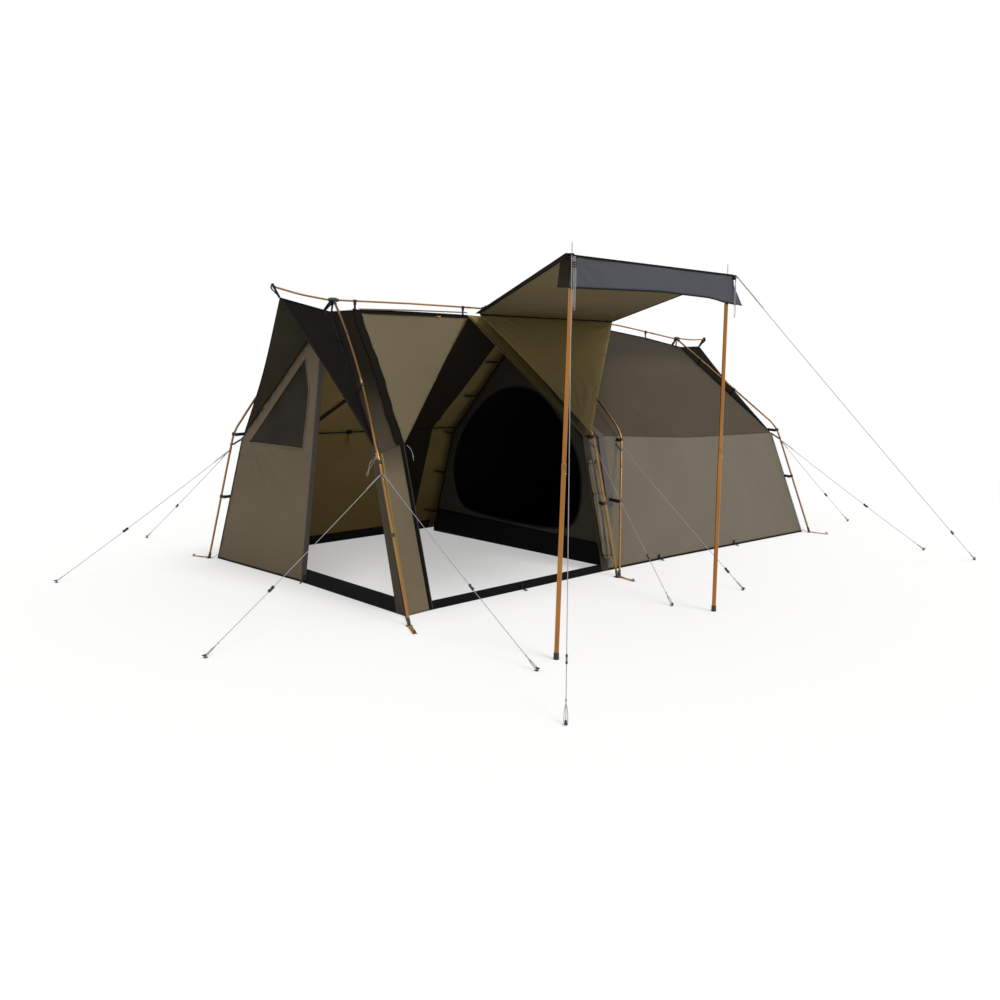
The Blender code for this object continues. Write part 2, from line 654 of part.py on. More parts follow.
def add_thresholds(black):
    """Low fabric sills along the ground under the two open doors."""
    high = THRESHOLD_HIGH
    canopy_panel("threshold_front", [Vector(DOOR_LEFT_FOOT), Vector(DOOR_RIGHT_FOOT),
                                     end_edge(DOOR_RIGHT_FOOT, DOOR_RIGHT, high),
                                     end_edge(DOOR_LEFT_FOOT, DOOR_LEFT, high)], black)
    top, foot = END_POST
    zip_foot, zip_top = END_ZIP
    high = END_THRESHOLD_HIGH
    inner_foot, outer_foot = end_face(zip_foot, 0.0), end_face(foot, 0.0)
    canopy_panel("threshold_left", [inner_foot, end_edge(inner_foot, end_face(zip_top, END_ZIP_TOP_Z), high),
                                    end_edge(outer_foot, end_face(top, END_POST_TOP_Z), high), outer_foot], black)


def awning_point(u, v):
    """A point of the raised panel's top face; u runs left to right and v from the ridge edge to the front."""
    back = Vector((AWNING_LEFT_X + (AWNING_RIGHT_X - AWNING_LEFT_X) * u, AWNING_EDGE_Y, AWNING_EDGE_Z))
    left, right = AWNING_FRONT_X
    front = Vector((left + (right - left) * u, AWNING_FRONT_Y, AWNING_FRONT_Z))
    sag = AWNING_SAG * 16 * u * (1 - u) * v * (1 - v) * 0.25 * 4
    return back.lerp(front, v) - Vector((0, 0, sag))


def add_awning(tan, grey):
    """The door panel, raised on two poles, hinged along its ridge edge; its origin is on that edge."""
    across, along = 8, 10
    bm = bmesh.new()
    top, low = [], []
    for j in range(along + 1):
        for i in range(across + 1):
            p = awning_point(i / across, j / along)
            top.append(bm.verts.new(p))
            low.append(bm.verts.new(p - Vector((0, 0, AWNING_THICK))))
    row = across + 1
    for j in range(along):
        for i in range(across):
            a = j * row + i
            quad = (a, a + 1, a + row + 1, a + row)
            bm.faces.new([top[k] for k in quad[::-1]])
            bm.faces.new([low[k] for k in quad])
    rim = list(range(row)) + [j * row + across for j in range(1, along + 1)]
    rim += [along * row + i for i in range(across - 1, -1, -1)] + [j * row for j in range(along - 1, 0, -1)]
    for a, b in zip(rim, rim[1:] + rim[:1]):
        bm.faces.new((top[a], top[b], low[b], low[a]))
    panel = object_from("awning_panel", bm, tan, (AWNING_LEFT_X, AWNING_EDGE_Y, AWNING_EDGE_Z))
    for number, x in enumerate(AWNING_POLE_TOP_X):
        cut = tube(f"grommet_cut_{number}", [(x, AWNING_POLE_Y, AWNING_FRONT_Z - 0.05),
                                             (x, AWNING_POLE_Y, AWNING_FRONT_Z + 0.05)], GROMMET_RADIUS, tan)
        cut.hide_render = True
        cut.display_type = "WIRE"
        hole = panel.modifiers.new(f"grommet_{number}", "BOOLEAN")
        hole.operation = "DIFFERENCE"
        hole.solver = "EXACT"
        hole.object = cut
    left, right = AWNING_FRONT_X
    tab_z = AWNING_FRONT_Z - AWNING_THICK / 2
    tabs = []
    for x, sign in ((left, -1), (right, 1)):
        start = Vector((x - sign * 0.012, AWNING_FRONT_Y + 0.012, tab_z))
        tabs.append(block_mesh(start, corner_tab_end(x, sign), CORNER_TAB[1], CORNER_TAB[2]))
    fuse(panel, tabs)
    high = AWNING_FRONT_Z - (AWNING_THICK + CORNER_TAB[2]) / 2 - VALANCE_GAP * 2
    y0 = AWNING_FRONT_Y - VALANCE_GAP - VALANCE_THICK
    outer = [(left, y0, high), (right, y0, high),
             (right + 0.015, y0, high - VALANCE_HIGH), (left - 0.02, y0, high - VALANCE_HIGH)]
    slab("valance", [outer], [[(x, y + VALANCE_THICK, z) for x, y, z in outer]], grey,
         (left, y0 + VALANCE_THICK / 2, high))


def corner_tab_end(x, sign):
    """Outer end of the webbing tab at a front corner of the raised panel, where a guyline is tied."""
    reach = CORNER_TAB[0] / math.sqrt(2)
    return Vector((x + sign * (reach - 0.012), AWNING_FRONT_Y + 0.012 - reach, AWNING_FRONT_Z - AWNING_THICK / 2))


def add_gusset(olive):
    """The rest of the door panel: a flap over the ridge pole and the fabric below the fold, down to the jamb."""
    rows = 6
    near, far = MID_HUB_X
    xs = [AWNING_LEFT_X, near, (near + far) / 2, far, *(far + (AWNING_RIGHT_X - far) * k / 3 for k in (1, 2, 3))]
    steps = len(xs) - 1
    fall = (RIDGE_MIDDLE[1][1] + MID_HUB_RADIUS * 1.5 - AWNING_EDGE_Z + AWNING_THICK) / abs(AWNING_EDGE_Y)
    cover = (MID_HUB_RADIUS + RIDGE_FLAP_GAP) * math.hypot(1, fall) + GUSSET_THICK[1] + GUSSET_THICK[0] * fall
    grid = [[Vector((x, RIDGE_FLAP_BACK, ridge_height(x) + cover)) for x in xs],
            [Vector((x, 0.0, ridge_height(x) + cover)) for x in xs],
            [Vector((x, AWNING_EDGE_Y, AWNING_EDGE_Z - AWNING_THICK - REST_GAP)) for x in xs]]
    tip = Vector(GUSSET_TIP)
    fold = grid[-1]
    for j in range(1, rows + 1):
        t = j / rows * 0.985
        bow = Vector((0.03, -0.01, 0.0)) * math.sin(math.pi * t)
        grid.append([p.lerp(tip, t) + bow * (1 - k / steps) for k, p in enumerate(fold)])
    drop = Vector((0, GUSSET_THICK[0], -GUSSET_THICK[1]))
    bm = bmesh.new()
    top = [[bm.verts.new(p) for p in row] for row in grid]
    low = [[bm.verts.new(p + drop) for p in row] for row in grid]
    for j in range(len(grid) - 1):
        for i in range(steps):
            bm.faces.new((top[j][i], top[j + 1][i], top[j + 1][i + 1], top[j][i + 1]))
            bm.faces.new((low[j][i], low[j][i + 1], low[j + 1][i + 1], low[j + 1][i]))
    rim = [(0, i) for i in range(steps + 1)] + [(j, steps) for j in range(1, len(grid))]
    rim += [(len(grid) - 1, i) for i in range(steps - 1, -1, -1)] + [(j, 0) for j in range(len(grid) - 2, 0, -1)]
    for (j, i), (n, m) in zip(rim, rim[1:] + rim[:1]):
        bm.faces.new((top[j][i], top[n][m], low[n][m], low[j][i]))
    object_from("door_panel_gusset", bm, olive)


def pole_pivot(top_x):
    """The point that an awning pole turns about: the middle of the ball below the panel's grommet."""
    v = (AWNING_POLE_Y - AWNING_EDGE_Y) / (AWNING_FRONT_Y - AWNING_EDGE_Y)
    under = AWNING_EDGE_Z + (AWNING_FRONT_Z - AWNING_EDGE_Z) * v - AWNING_THICK
    slope = (AWNING_FRONT_Z - AWNING_EDGE_Z) / abs(AWNING_FRONT_Y - AWNING_EDGE_Y)
    seat = math.sqrt(SPIKE_SEAT ** 2 - BRIM_RADIUS ** 2) + GROMMET_RADIUS * slope
    return Vector((top_x, AWNING_POLE_Y, under - seat - REST_GAP))


def add_awning_poles(gold):
    """Each pole has a rubber foot, a ball below the panel and a spike through its grommet; it turns in the ball."""
    for name, top_x, foot_x in zip(("near", "far"), AWNING_POLE_TOP_X, AWNING_POLE_FOOT_X):
        pivot = pole_pivot(top_x)
        foot = Vector((foot_x, AWNING_POLE_Y, 0.0))
        along = (pivot - foot).normalized()
        cap_top = foot + Vector((0, 0, POLE_CAP_HIGH))
        joint = foot.lerp(pivot, 0.5)
        up = Vector((0, 0, 1))
        brim = BRIM_RADIUS
        points = [foot, cap_top, cap_top + along * 0.0005, joint, joint + along * 0.01,
                  pivot - up * SPIKE_SEAT * 0.6, pivot, pivot + up * SPIKE_SEAT * 0.45,
                  pivot + up * math.sqrt(SPIKE_SEAT ** 2 - brim ** 2),
                  pivot + up * (math.sqrt(SPIKE_SEAT ** 2 - brim ** 2) + 0.0004), pivot + up * SPIKE_HIGH]
        upper = AWNING_POLE_RADIUS * 0.9
        radii = [POLE_CAP_RADIUS, POLE_CAP_RADIUS, AWNING_POLE_RADIUS, AWNING_POLE_RADIUS, upper, upper, SPIKE_SEAT,
                 SPIKE_SEAT * 0.89, brim, SPIKE_RADIUS, SPIKE_RADIUS * 0.7]
        tube(f"awning_pole_{name}", points, radii, gold, sides=12, origin=pivot)


def inner_outline(x):
    """Section of the inner tent at x: feet, shoulders and ridge."""
    share = (x - INNER_FRONT_X) / (INNER_END_X - INNER_FRONT_X)
    ridge = INNER_RIDGE_Z[0] + (INNER_RIDGE_Z[1] - INNER_RIDGE_Z[0]) * share
    return (INNER_FOOT_HALF, INNER_HALF, INNER_SHOULDER_Z, ridge)


def inner_hook(share):
    """A strap from the inner tent's front edge back to the canopy: at a share of the roof's slope, or to the wall."""
    foot, half, shoulder, ridge = inner_outline(INNER_FRONT_X)
    x = INNER_FRONT_X + INNER_THICK / 2
    eave, hem = (Vector(b).lerp(Vector(a), (x - b[0]) / (a[0] - b[0]))
                 for a, b in ((SHOULDER_BR, SHOULDER_BL), (HEM_BR, HEM_BL)))
    if share is None:
        high, low = inward(eave), inward(hem)
        start = Vector((x, foot + (half - foot) * HOOK_WALL_Z / shoulder, HOOK_WALL_Z))
    else:
        high, low = inward(canopy_ridge(x)), inward(eave)
        start = Vector((x, half * share, ridge + (shoulder - ridge) * share))
    slope = Vector((0, low.y - high.y, low.z - high.z)).normalized()
    out = Vector((0, -slope.z, slope.y))
    reach = (high - start).dot(out) - HOOK_GAP
    return block_mesh(start - out * HOOK_ROOT, start + out * reach, HOOK_WIDTH, HOOK_THICK, up=(1, 0, 0))


def add_inner_tent(black):
    """A bedroom hung inside the right half, with a D-shaped door and a raised floor edge."""
    foot, half, shoulder, ridge = inner_outline(INNER_FRONT_X)
    x = INNER_FRONT_X
    outline = [(x, 0, ridge), (x, half, shoulder), (x, foot, FLOOR_THICK + 0.0005),
               (x, -foot, FLOOR_THICK + 0.0005), (x, -half, shoulder)]
    hole = [(x, y, z) for y, z in INNER_DOOR]
    loops = [outline, hole]
    item = slab("inner_front", loops, [[(px + INNER_THICK, y, z) for px, y, z in loop] for loop in loops], black,
                holes=1)
    fuse(item, [inner_hook(place) for place in (*HOOK_SHARES, None)])
    foot2, half2, shoulder2, ridge2 = inner_outline(INNER_END_X)
    x0, x1 = x + INNER_THICK + 0.0004, INNER_END_X
    for name, s in (("front", -1), ("back", 1)):
        start = [(x0, s * 0.0006, ridge), (x0, s * half, shoulder), (x0, s * foot, FLOOR_THICK + 0.0005)]
        end = [(x1, s * 0.0006, ridge2), (x1, s * half2, shoulder2), (x1, s * foot2, FLOOR_THICK + 0.0005)]
        bm = bmesh.new()
        rings = []
        for line in (start, end):
            ring = [bm.verts.new(p) for p in line]
            ring += [bm.verts.new(p) for p in ((line[2][0], line[2][1] - s * INNER_THICK, line[2][2]),
                                               (line[1][0], line[1][1] - s * INNER_THICK, line[1][2] - 0.003),
                                               (line[0][0], line[0][1], line[0][2] - INNER_THICK * 1.6))]
            rings.append(ring)
        a, b = rings
        for k in range(6):
            bm.faces.new((a[k], a[(k + 1) % 6], b[(k + 1) % 6], b[k]))
        for ring, order in ((a, 1), (b, -1)):
            for quad in ((0, 1, 4, 5), (1, 2, 3, 4)):
                bm.faces.new([ring[k] for k in quad][::order])
        object_from(f"inner_side_{name}", bm, black)
    plan = [(INNER_FRONT_X - 0.012, -foot), (INNER_END_X, -foot2), (INNER_END_X, foot2), (INNER_FRONT_X - 0.012, foot)]
    slab("inner_floor", [[(px, y, FLOOR_THICK) for px, y in plan]], [[(px, y, 0.0) for px, y in plan]], black)


def add_door_roll(grey):
    """The mesh door, gathered and tied beside the right jamb."""
    half = Vector((JAMB_WIDTH / 2, 0, 0))
    foot, top = Vector(DOOR_RIGHT_FOOT) + half, Vector(DOOR_RIGHT) + half
    lean = (top - foot).normalized()
    points, radii = [], []
    for k in range(9):
        t = k / 8
        radii.append(ROLL_RADIUS * (0.72 + 0.28 * math.sin(math.pi * (0.15 + 0.8 * (1 - t)))))
        wall = end_edge(foot, top, ROLL_FOOT_Z + (DOOR_RIGHT[2] - ROLL_FOOT_Z - ROLL_TOP_DROP) * t)
        out = Vector((0, -lean.z, lean.y))
        points.append(wall + out * (radii[-1] + ROLL_GAP))
    tube("door_roll", points, radii, grey, sides=10)


def add_sliders(metal):
    """One slider stands near the ground on each zip, a little off the fabric beside the opening."""
    add_slider("zip_slider_front", Vector(DOOR_LEFT_FOOT), Vector(DOOR_LEFT), Vector(HEM_FL), FRONT_ZIP_START, metal)
    foot, top = end_face(END_ZIP[0], 0.0), end_face(END_ZIP[1], END_ZIP_TOP_Z)
    add_slider("zip_slider_end", foot, top, Vector(SHOULDER_BL), END_ZIP_START, metal)


def add_slider(name, foot, top, fabric, start, metal):
    """A zip slider beside the line from foot to top, on the panel that also holds the fabric point."""
    along = (top - foot).normalized()
    aside = fabric - foot
    aside = (aside - along * aside.dot(along)).normalized()
    out = along.cross(aside)
    if out.dot(Vector((-1, -1, 0))) < 0:
        out = -out
    place = foot + along * start + aside * ZIP_ASIDE + out * (SLIDER[1] / 2 + SLIDER_GAP)
    half = SLIDER[2] / 2
    object_from(name, block_mesh(place - along * half, place + along * half, SLIDER[0], SLIDER[1], up=out), metal, place)


def arch_stem(place):
    """Foot and bend of the pole that a ring at the given place sits on."""
    if place.startswith("middle"):
        turn, number = (-1, 0) if place.endswith("left") else (1, 1)
        bend = (MID_BEND_X[number], -FRONT_BEND_Y, MID_BEND_Z[number])
        return Vector(foot_point(MID_FOOT_X + turn * MID_FOOT_SPREAD / 2, -FOOT_Y, bend)), Vector(bend)
    face, side = place.split("_")
    sx, sy = (-1 if side == "left" else 1), (-1 if face == "front" else 1)
    bend_y, bend_z = side_bend(sy)
    bend = (sx * BEND_X, sy * bend_y, bend_z)
    return Vector(foot_point(sx * FOOT_X, sy * FOOT_Y, bend)), Vector(bend)


def guyline_tie(place, peg):
    """Upper end of a guyline, a hair outside the pole or the corner tab that it is tied to."""
    if place.startswith("corner"):
        x, sign = (AWNING_FRONT_X[0], -1) if place.endswith("left") else (AWNING_FRONT_X[1], 1)
        surface = corner_tab_end(x, sign)
        away = Vector((sign, -1, 0)).normalized()
    else:
        foot, bend = arch_stem(place)
        centre = end_edge(foot, bend, RING_HEIGHTS[place])
        stem = (bend - foot).normalized()
        away = peg - centre
        away = (away - stem * away.dot(stem)).normalized()
        surface = centre + away * ARCH_RADIUS
    run = (peg - surface).normalized()
    facing = math.sqrt(1 - away.dot(run) ** 2)
    return surface + away * (CORD_RADIUS * facing + REST_GAP)


def add_guylines(cord):
    """Taut cords from the poles and the corner tabs to the pegs, with a tensioner on each."""
    for name, (place, peg, share) in GUYLINES.items():
        b = Vector((*peg, PEG_TOP))
        a = guyline_tie(place, b)
        long = (b - a).length
        curve = bpy.data.curves.new(name, "CURVE")
        curve.dimensions = "3D"
        curve.bevel_depth = CORD_RADIUS
        curve.bevel_resolution = 2
        curve.use_fill_caps = True
        stations = [k / CORD_STEPS for k in range(CORD_STEPS + 1)]
        fat = TENSIONER_LENGTH / long
        stations += [share - fat, share - fat * 0.9, share, share + fat * 0.1]
        stations.sort()
        spline = curve.splines.new("POLY")
        spline.points.add(len(stations) - 1)
        for point, t in zip(spline.points, stations):
            p = a.lerp(b, t) - Vector((0, 0, CORD_SAG * 4 * t * (1 - t)))
            point.co = (*p, 1.0)
            inside = share - fat * 0.95 < t < share + fat * 0.05
            point.radius = TENSIONER_RADIUS / CORD_RADIUS if inside else 1.0
        item = bpy.data.objects.new(name, curve)
        curve.materials.append(cord)
        bpy.context.collection.objects.link(item)


def main():
    clear_scene()
    gold = finish("gold_anodised", (0.62, 0.33, 0.10), 0.28, 1.0)
    black = finish("black_moulding", (0.015, 0.015, 0.016), 0.5, 0.0)
    webbing = finish("tan_webbing", (0.36, 0.20, 0.07), 0.8, 0.0)
    taupe = finish("taupe_fabric", (0.17, 0.14, 0.11), 0.85, 0.0)
    olive = finish("olive_fabric", (0.09, 0.07, 0.035), 0.85, 0.0)
    dark = finish("dark_fabric", (0.02, 0.018, 0.015), 0.85, 0.0)
    slate = finish("slate_fabric", (0.08, 0.09, 0.11), 0.85, 0.0)
    pale = finish("pale_cord", (0.55, 0.55, 0.55), 0.8, 0.0)
    grey = finish("grey_mesh", (0.12, 0.12, 0.11), 0.85, 0.0)
    metal = finish("dark_zip_metal", (0.05, 0.05, 0.05), 0.35, 1.0)

    add_ridge(gold)
    add_hubs(black)
    add_arches(gold)
    add_feet(webbing)
    add_roof(taupe, olive)
    add_walls(taupe, olive, taupe)
    add_end_walls(taupe, taupe, grey)
    add_visors(dark)
    add_thresholds(black)
    add_awning(taupe, slate)
    add_gusset(olive)
    add_awning_poles(gold)
    add_inner_tent(dark)
    add_door_roll(grey)
    add_sliders(metal)
    add_guylines(pale)


main()
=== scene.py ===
"""Looks of a two-room tent with an outside pole frame: fabric, poles, cords, fittings, lights and camera."""
import math

import bmesh
import bpy
from mathutils import Matrix, Vector, noise
from mathutils.geometry import delaunay_2d_cdt


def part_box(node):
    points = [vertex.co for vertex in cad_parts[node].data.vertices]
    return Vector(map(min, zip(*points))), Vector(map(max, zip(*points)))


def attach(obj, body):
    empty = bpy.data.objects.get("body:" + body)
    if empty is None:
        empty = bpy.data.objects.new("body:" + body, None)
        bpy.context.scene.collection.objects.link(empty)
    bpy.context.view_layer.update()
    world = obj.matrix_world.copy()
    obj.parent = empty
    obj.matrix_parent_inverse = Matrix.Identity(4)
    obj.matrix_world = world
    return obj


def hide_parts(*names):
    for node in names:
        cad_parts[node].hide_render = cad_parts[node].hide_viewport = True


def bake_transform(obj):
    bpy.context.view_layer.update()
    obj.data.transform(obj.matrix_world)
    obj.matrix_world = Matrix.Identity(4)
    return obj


bl_info = {
    "name": "Two-room pole tent",
    "version": (1, 0, 0),
    "blender": (4, 5, 0),
    "location": "View3D > Sidebar > Tent",
    "description": "Fabric, poles, fittings and cords of a two-room tent, with a studio stage",
    "category": "Object",
}

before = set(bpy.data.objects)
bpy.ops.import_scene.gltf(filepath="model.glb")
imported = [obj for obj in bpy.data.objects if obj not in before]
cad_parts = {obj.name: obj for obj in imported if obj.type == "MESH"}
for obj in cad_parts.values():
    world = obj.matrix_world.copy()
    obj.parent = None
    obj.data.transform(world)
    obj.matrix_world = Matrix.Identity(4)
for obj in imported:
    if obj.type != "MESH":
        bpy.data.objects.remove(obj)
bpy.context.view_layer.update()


def colour_prop(name, description, default):
    return bpy.props.FloatVectorProperty(name=name, description=description, subtype="COLOR", size=3,
                                         min=0.0, max=1.0, default=default)


def length_prop(name, description, default):
    return bpy.props.FloatProperty(name=name, description=description, unit="LENGTH", subtype="DISTANCE",
                                   min=0.0, default=default, precision=4)


class TentFabrics(bpy.types.PropertyGroup):
    """Colours and thread sizes of the sewn panels."""
    wall: colour_prop("Wall", "Long walls", (0.139, 0.122, 0.091))
    end: colour_prop("End wall", "End walls and corner strips", (0.148, 0.116, 0.074))
    roof: colour_prop("Roof", "Right roof panel", (0.056, 0.045, 0.029))
    door: colour_prop("Door panel", "Raised door panel and left roof triangle", (0.122, 0.098, 0.056))
    # The lining's colour holds painted light: it is raised above the fabric's own colour to stand for the light inside
    # the tent.
    lining: colour_prop("Lining", "Inner face of the walls and roof", (0.210, 0.150, 0.052))
    visor: colour_prop("Visor", "Peaked visors at both ends", (0.0065, 0.0055, 0.0040))
    visor_lining: colour_prop("Visor lining", "Inner face of the visors", (0.039, 0.034, 0.022))
    valance: colour_prop("Valance", "Flap at the front of the raised panel", (0.065, 0.070, 0.083))
    binding: colour_prop("Binding", "Tape along seams and free edges", (0.010, 0.009, 0.009))
    zip_tape: colour_prop("Zip tape", "Strips beside the doors", (0.070, 0.058, 0.045))
    inner: colour_prop("Inner tent", "Bedroom fabric", (0.030, 0.026, 0.020))
    tub: colour_prop("Tub", "Raised floor edge and sills", (0.0045, 0.0045, 0.0045))
    roll: colour_prop("Rolled door", "Door fabric gathered at the right jamb", (0.205, 0.180, 0.128))
    # Painted shade: the roof strip is near-black, as if in deep shade.
    strip: colour_prop("Roof strip", "Roof between the left visor and the front door", (0.0085, 0.0065, 0.0045))
    shade: colour_prop("Shade", "Inner face of the raised panel", (0.120, 0.090, 0.043))
    fold: colour_prop("Fold", "Hanging part of the door panel", (0.134, 0.101, 0.036))
    # Painted shade: a dark band on the lining inside the tent, before the bedroom, where the inside lies in shade.
    divider: colour_prop("Divider", "Dark band inside, before the bedroom", (0.021, 0.018, 0.013))
    mesh: colour_prop("Mesh", "Strip of mesh beside the rolled door", (0.107, 0.090, 0.087))
    thread: length_prop("Thread pitch", "Distance between two threads of the weave", 0.0016)
    cloth: length_prop("Cloth thickness", "Thickness of a panel", 0.0016)


class TentFrame(bpy.types.PropertyGroup):
    """Colours and sizes of the poles and fittings."""
    pole: colour_prop("Pole", "Anodised pole finish", (0.40, 0.20, 0.068))
    post: colour_prop("Awning pole", "Finish of the two awning poles", (0.37, 0.158, 0.038))
    ferrule: colour_prop("Ferrule", "Sleeve where two pole sections meet", (0.28, 0.14, 0.05))
    moulding: colour_prop("Moulding", "Hubs, clips, caps and tensioners", (0.012, 0.012, 0.013))
    webbing: colour_prop("Webbing", "Tails at the feet", (0.42, 0.22, 0.055))
    grey_strap: colour_prop("Grey strap", "Straps below the bends", (0.16, 0.16, 0.155))
    cord: colour_prop("Guyline", "Braided guyline", (0.40, 0.40, 0.395))
    steel: colour_prop("Steel", "Rings, pins and spikes", (0.55, 0.55, 0.56))
    ridge_radius: length_prop("Ridge pole radius", "Outside radius of the ridge pole", 0.007)
    arch_radius: length_prop("Arch pole radius", "Outside radius of the arch poles", 0.0085)
    post_radius: length_prop("Awning pole radius", "Outside radius of the awning poles", 0.0135)
    cord_width: length_prop("Guyline width", "Diameter of a guyline", 0.004)


class TentStage(bpy.types.PropertyGroup):
    """Floor and light."""
    floor: colour_prop("Floor", "Floor round the tent", (0.97, 0.97, 0.97))
    sky: bpy.props.FloatProperty(name="Sky", description="Strength of the even light", min=0.0, default=0.80)
    sun: bpy.props.FloatProperty(name="Key light", description="Strength of the soft key light", min=0.0, default=1.55)


BEND_ZONE = (1.06, 1.30)    # heights between which an arch pole's colour changes


class Wire:
    """One shader socket; arithmetic on it adds the nodes that work it out."""

    def __init__(self, board, socket):
        self.board, self.socket = board, socket

    def __add__(self, other):
        return self.board.maths("ADD", self, other)

    def __sub__(self, other):
        return self.board.maths("SUBTRACT", self, other)

    def __rsub__(self, other):
        return self.board.maths("SUBTRACT", other, self)

    def __mul__(self, other):
        return self.board.maths("MULTIPLY", self, other)

    def __truediv__(self, other):
        return self.board.maths("DIVIDE", self, other)

    __radd__ = __add__
    __rmul__ = __mul__

    def wave(self):
        """0 to 1 and back, once for each whole step of the value."""
        return self.board.maths("SINE", self * math.tau) * 0.5 + 0.5

    def power(self, n):
        return self.board.maths("POWER", self, n)

    def clamped(self):
        return self.board.node("ShaderNodeClamp", {}, {"Value": self})

    def between(self, low, high):
        """A smooth rise from 0 at low to 1 at high."""
        return self.board.node("ShaderNodeMapRange", {"interpolation_type": "SMOOTHSTEP"},
                               {"Value": self, "From Min": low, "From Max": high})


class Board:
    """A material or a world and its nodes."""

    def __init__(self, name, kind="materials"):
        self.material = getattr(bpy.data, kind).new(name)
        self.material.use_nodes = True
        self.tree = self.material.node_tree
        self.shader = self.tree.nodes.get("Principled BSDF") or self.tree.nodes["Background"]

    def node(self, kind, settings=None, values=None, out=0):
        made = self.tree.nodes.new(kind)
        for key, value in (settings or {}).items():
            if key == "stops":
                ramp = made.color_ramp
                while len(ramp.elements) < len(value):
                    ramp.elements.new(0.5)
                for stop, (place, colour) in zip(ramp.elements, value):
                    stop.position, stop.color = place, (*colour, 1.0)
            else:
                setattr(made, key, value)
        for key, value in (values or {}).items():
            self.feed(made.inputs[key], value)
        return Wire(self, made.outputs[out])

    def feed(self, socket, value):
        if isinstance(value, Wire):
            self.tree.links.new(value.socket, socket)
        elif socket.type == "RGBA":
            socket.default_value = (*value, 1.0)
        else:
            socket.default_value = value

    def maths(self, operation, a, b=0.0):
        return self.node("ShaderNodeMath", {"operation": operation}, {0: a, 1: b})

    def mix(self, share, a, b):
        """The colour a where share is 0 and b where it is 1."""
        return self.node("ShaderNodeMix", {"data_type": "RGBA"}, {0: share, 6: a, 7: b}, out=2)

    def place(self):
        """The point on the object, in metres."""
        return self.node("ShaderNodeTexCoord", {}, {}, out="Object")

    def noise(self, scale, detail=2.0, where=None, rough=0.5):
        return self.node("ShaderNodeTexNoise", {"noise_dimensions": "3D"},
                         {"Vector": where or self.place(), "Scale": scale, "Detail": detail, "Roughness": rough})

    def axis(self, where, name):
        return self.node("ShaderNodeSeparateXYZ", {}, {"Vector": where}, out=name)

    def bump(self, height, distance, strength=1.0, normal=None):
        values = {"Height": height, "Distance": distance, "Strength": strength}
        if normal is not None:
            values["Normal"] = normal
        return self.node("ShaderNodeBump", {}, values)

    def finish(self, **sockets):
        names = {"colour": "Base Color", "rough": "Roughness", "metal": "Metallic", "normal": "Normal",
                 "alpha": "Alpha", "specular": "Specular IOR Level"}
        for key, value in sockets.items():
            self.feed(self.shader.inputs[names[key]], value)
        return self.material


def tinted(colour, factor):
    return tuple(min(1.0, c * factor) for c in colour)


def woven(name, colour, pitch, spread=0.10, rough=0.85, ripstop=0.0, shine=0.18, low=None):
    """Coated woven cloth: a plain weave, slight patches of shade and fine creases.

    low is the colour below a height, with the two heights between which it goes over into the other one; the finishes
    use it to paint shade and light that change with height."""
    b = Board(name)
    flat = b.node("ShaderNodeUVMap", {"uv_map": "cloth"})
    u, v = b.axis(flat, "X") / pitch, b.axis(flat, "Y") / pitch
    over = (u + v * 0.5).wave() * (v + 0.25).wave()
    under = (u + 0.5).wave() * (v + 0.75).wave()
    threads = over + under
    patches = b.noise(1.7, 3.0)
    flecks = b.noise(210.0, 2.0)
    slubs = b.noise(38.0, 3.0, rough=0.7)
    level = patches * 0.55 + slubs * 0.25 + flecks * 0.20

    def mottled(shade):
        return b.mix(level.between(0.33, 0.67), tinted(shade, 1.0 - spread), tinted(shade, 1.0 + spread))
    base = mottled(colour)
    if low:
        below = mottled(low[0])
        base = b.mix(b.axis(b.place(), "Z").between(*low[1:]), below, base)
    creases = b.noise(16.0, 5.0, rough=0.62)
    ripple = b.noise(3.2, 2.0)
    if ripstop:
        line = (u / 7.0).wave().power(24.0) + (v / 7.0).wave().power(24.0)
        threads = threads + line * ripstop
        base = b.mix(line.clamped() * 0.22, base, tinted(colour, 1.30))
    normal = b.bump(ripple, 0.010, 0.35)
    normal = b.bump(creases, 0.0035, 0.40, normal)
    normal = b.bump(threads, pitch * 0.22, 0.55, normal)
    return b.finish(colour=base, rough=slubs * 0.16 + (rough - 0.08), normal=normal, specular=shine)


def anodised(name, colour, rough=0.22, high=None):
    """Drawn aluminium with a dyed skin: fine lines along the pole and faint scuffs.

    high is the colour above the bends."""
    b = Board(name)
    where = b.place()
    stretched = b.node("ShaderNodeMapping", {}, {"Vector": where, "Scale": (1.0, 1.0, 0.12)})
    lines = b.noise(420.0, 3.0, stretched)
    scuffs = b.noise(55.0, 4.0, rough=0.7)
    cloud = b.noise(3.0, 2.0)
    base = b.mix(cloud.between(0.3, 0.7), tinted(colour, 0.90), tinted(colour, 1.06))
    base = b.mix(scuffs.between(0.60, 0.78) * 0.15, base, tinted(colour, 0.7))
    if high:
        base = b.mix(b.axis(where, "Z").between(*BEND_ZONE), base, high)
    return b.finish(colour=base, metal=1.0, rough=scuffs * 0.14 + (rough - 0.05) + lines * 0.05,
                    normal=b.bump(lines, 0.00012, 0.5))


def moulded(name, colour, rough=0.42):
    """Injection-moulded plastic with a fine spark texture and worn edges."""
    b = Board(name)
    grain = b.noise(900.0, 2.0)
    marks = b.noise(28.0, 4.0, rough=0.65)
    base = b.mix(marks.between(0.52, 0.80), colour, tinted(colour, 2.1))
    return b.finish(colour=base, rough=marks * 0.18 + (rough - 0.06), normal=b.bump(grain, 0.00010, 0.6), specular=0.5)


def steel(name, colour, rough=0.28):
    """Plated steel with small dull spots."""
    b = Board(name)
    spots = b.noise(120.0, 4.0, rough=0.7)
    base = b.mix(spots.between(0.55, 0.75), colour, tinted(colour, 0.55))
    return b.finish(colour=base, metal=1.0, rough=spots * 0.22 + (rough - 0.08), normal=b.bump(spots, 0.0001, 0.4))


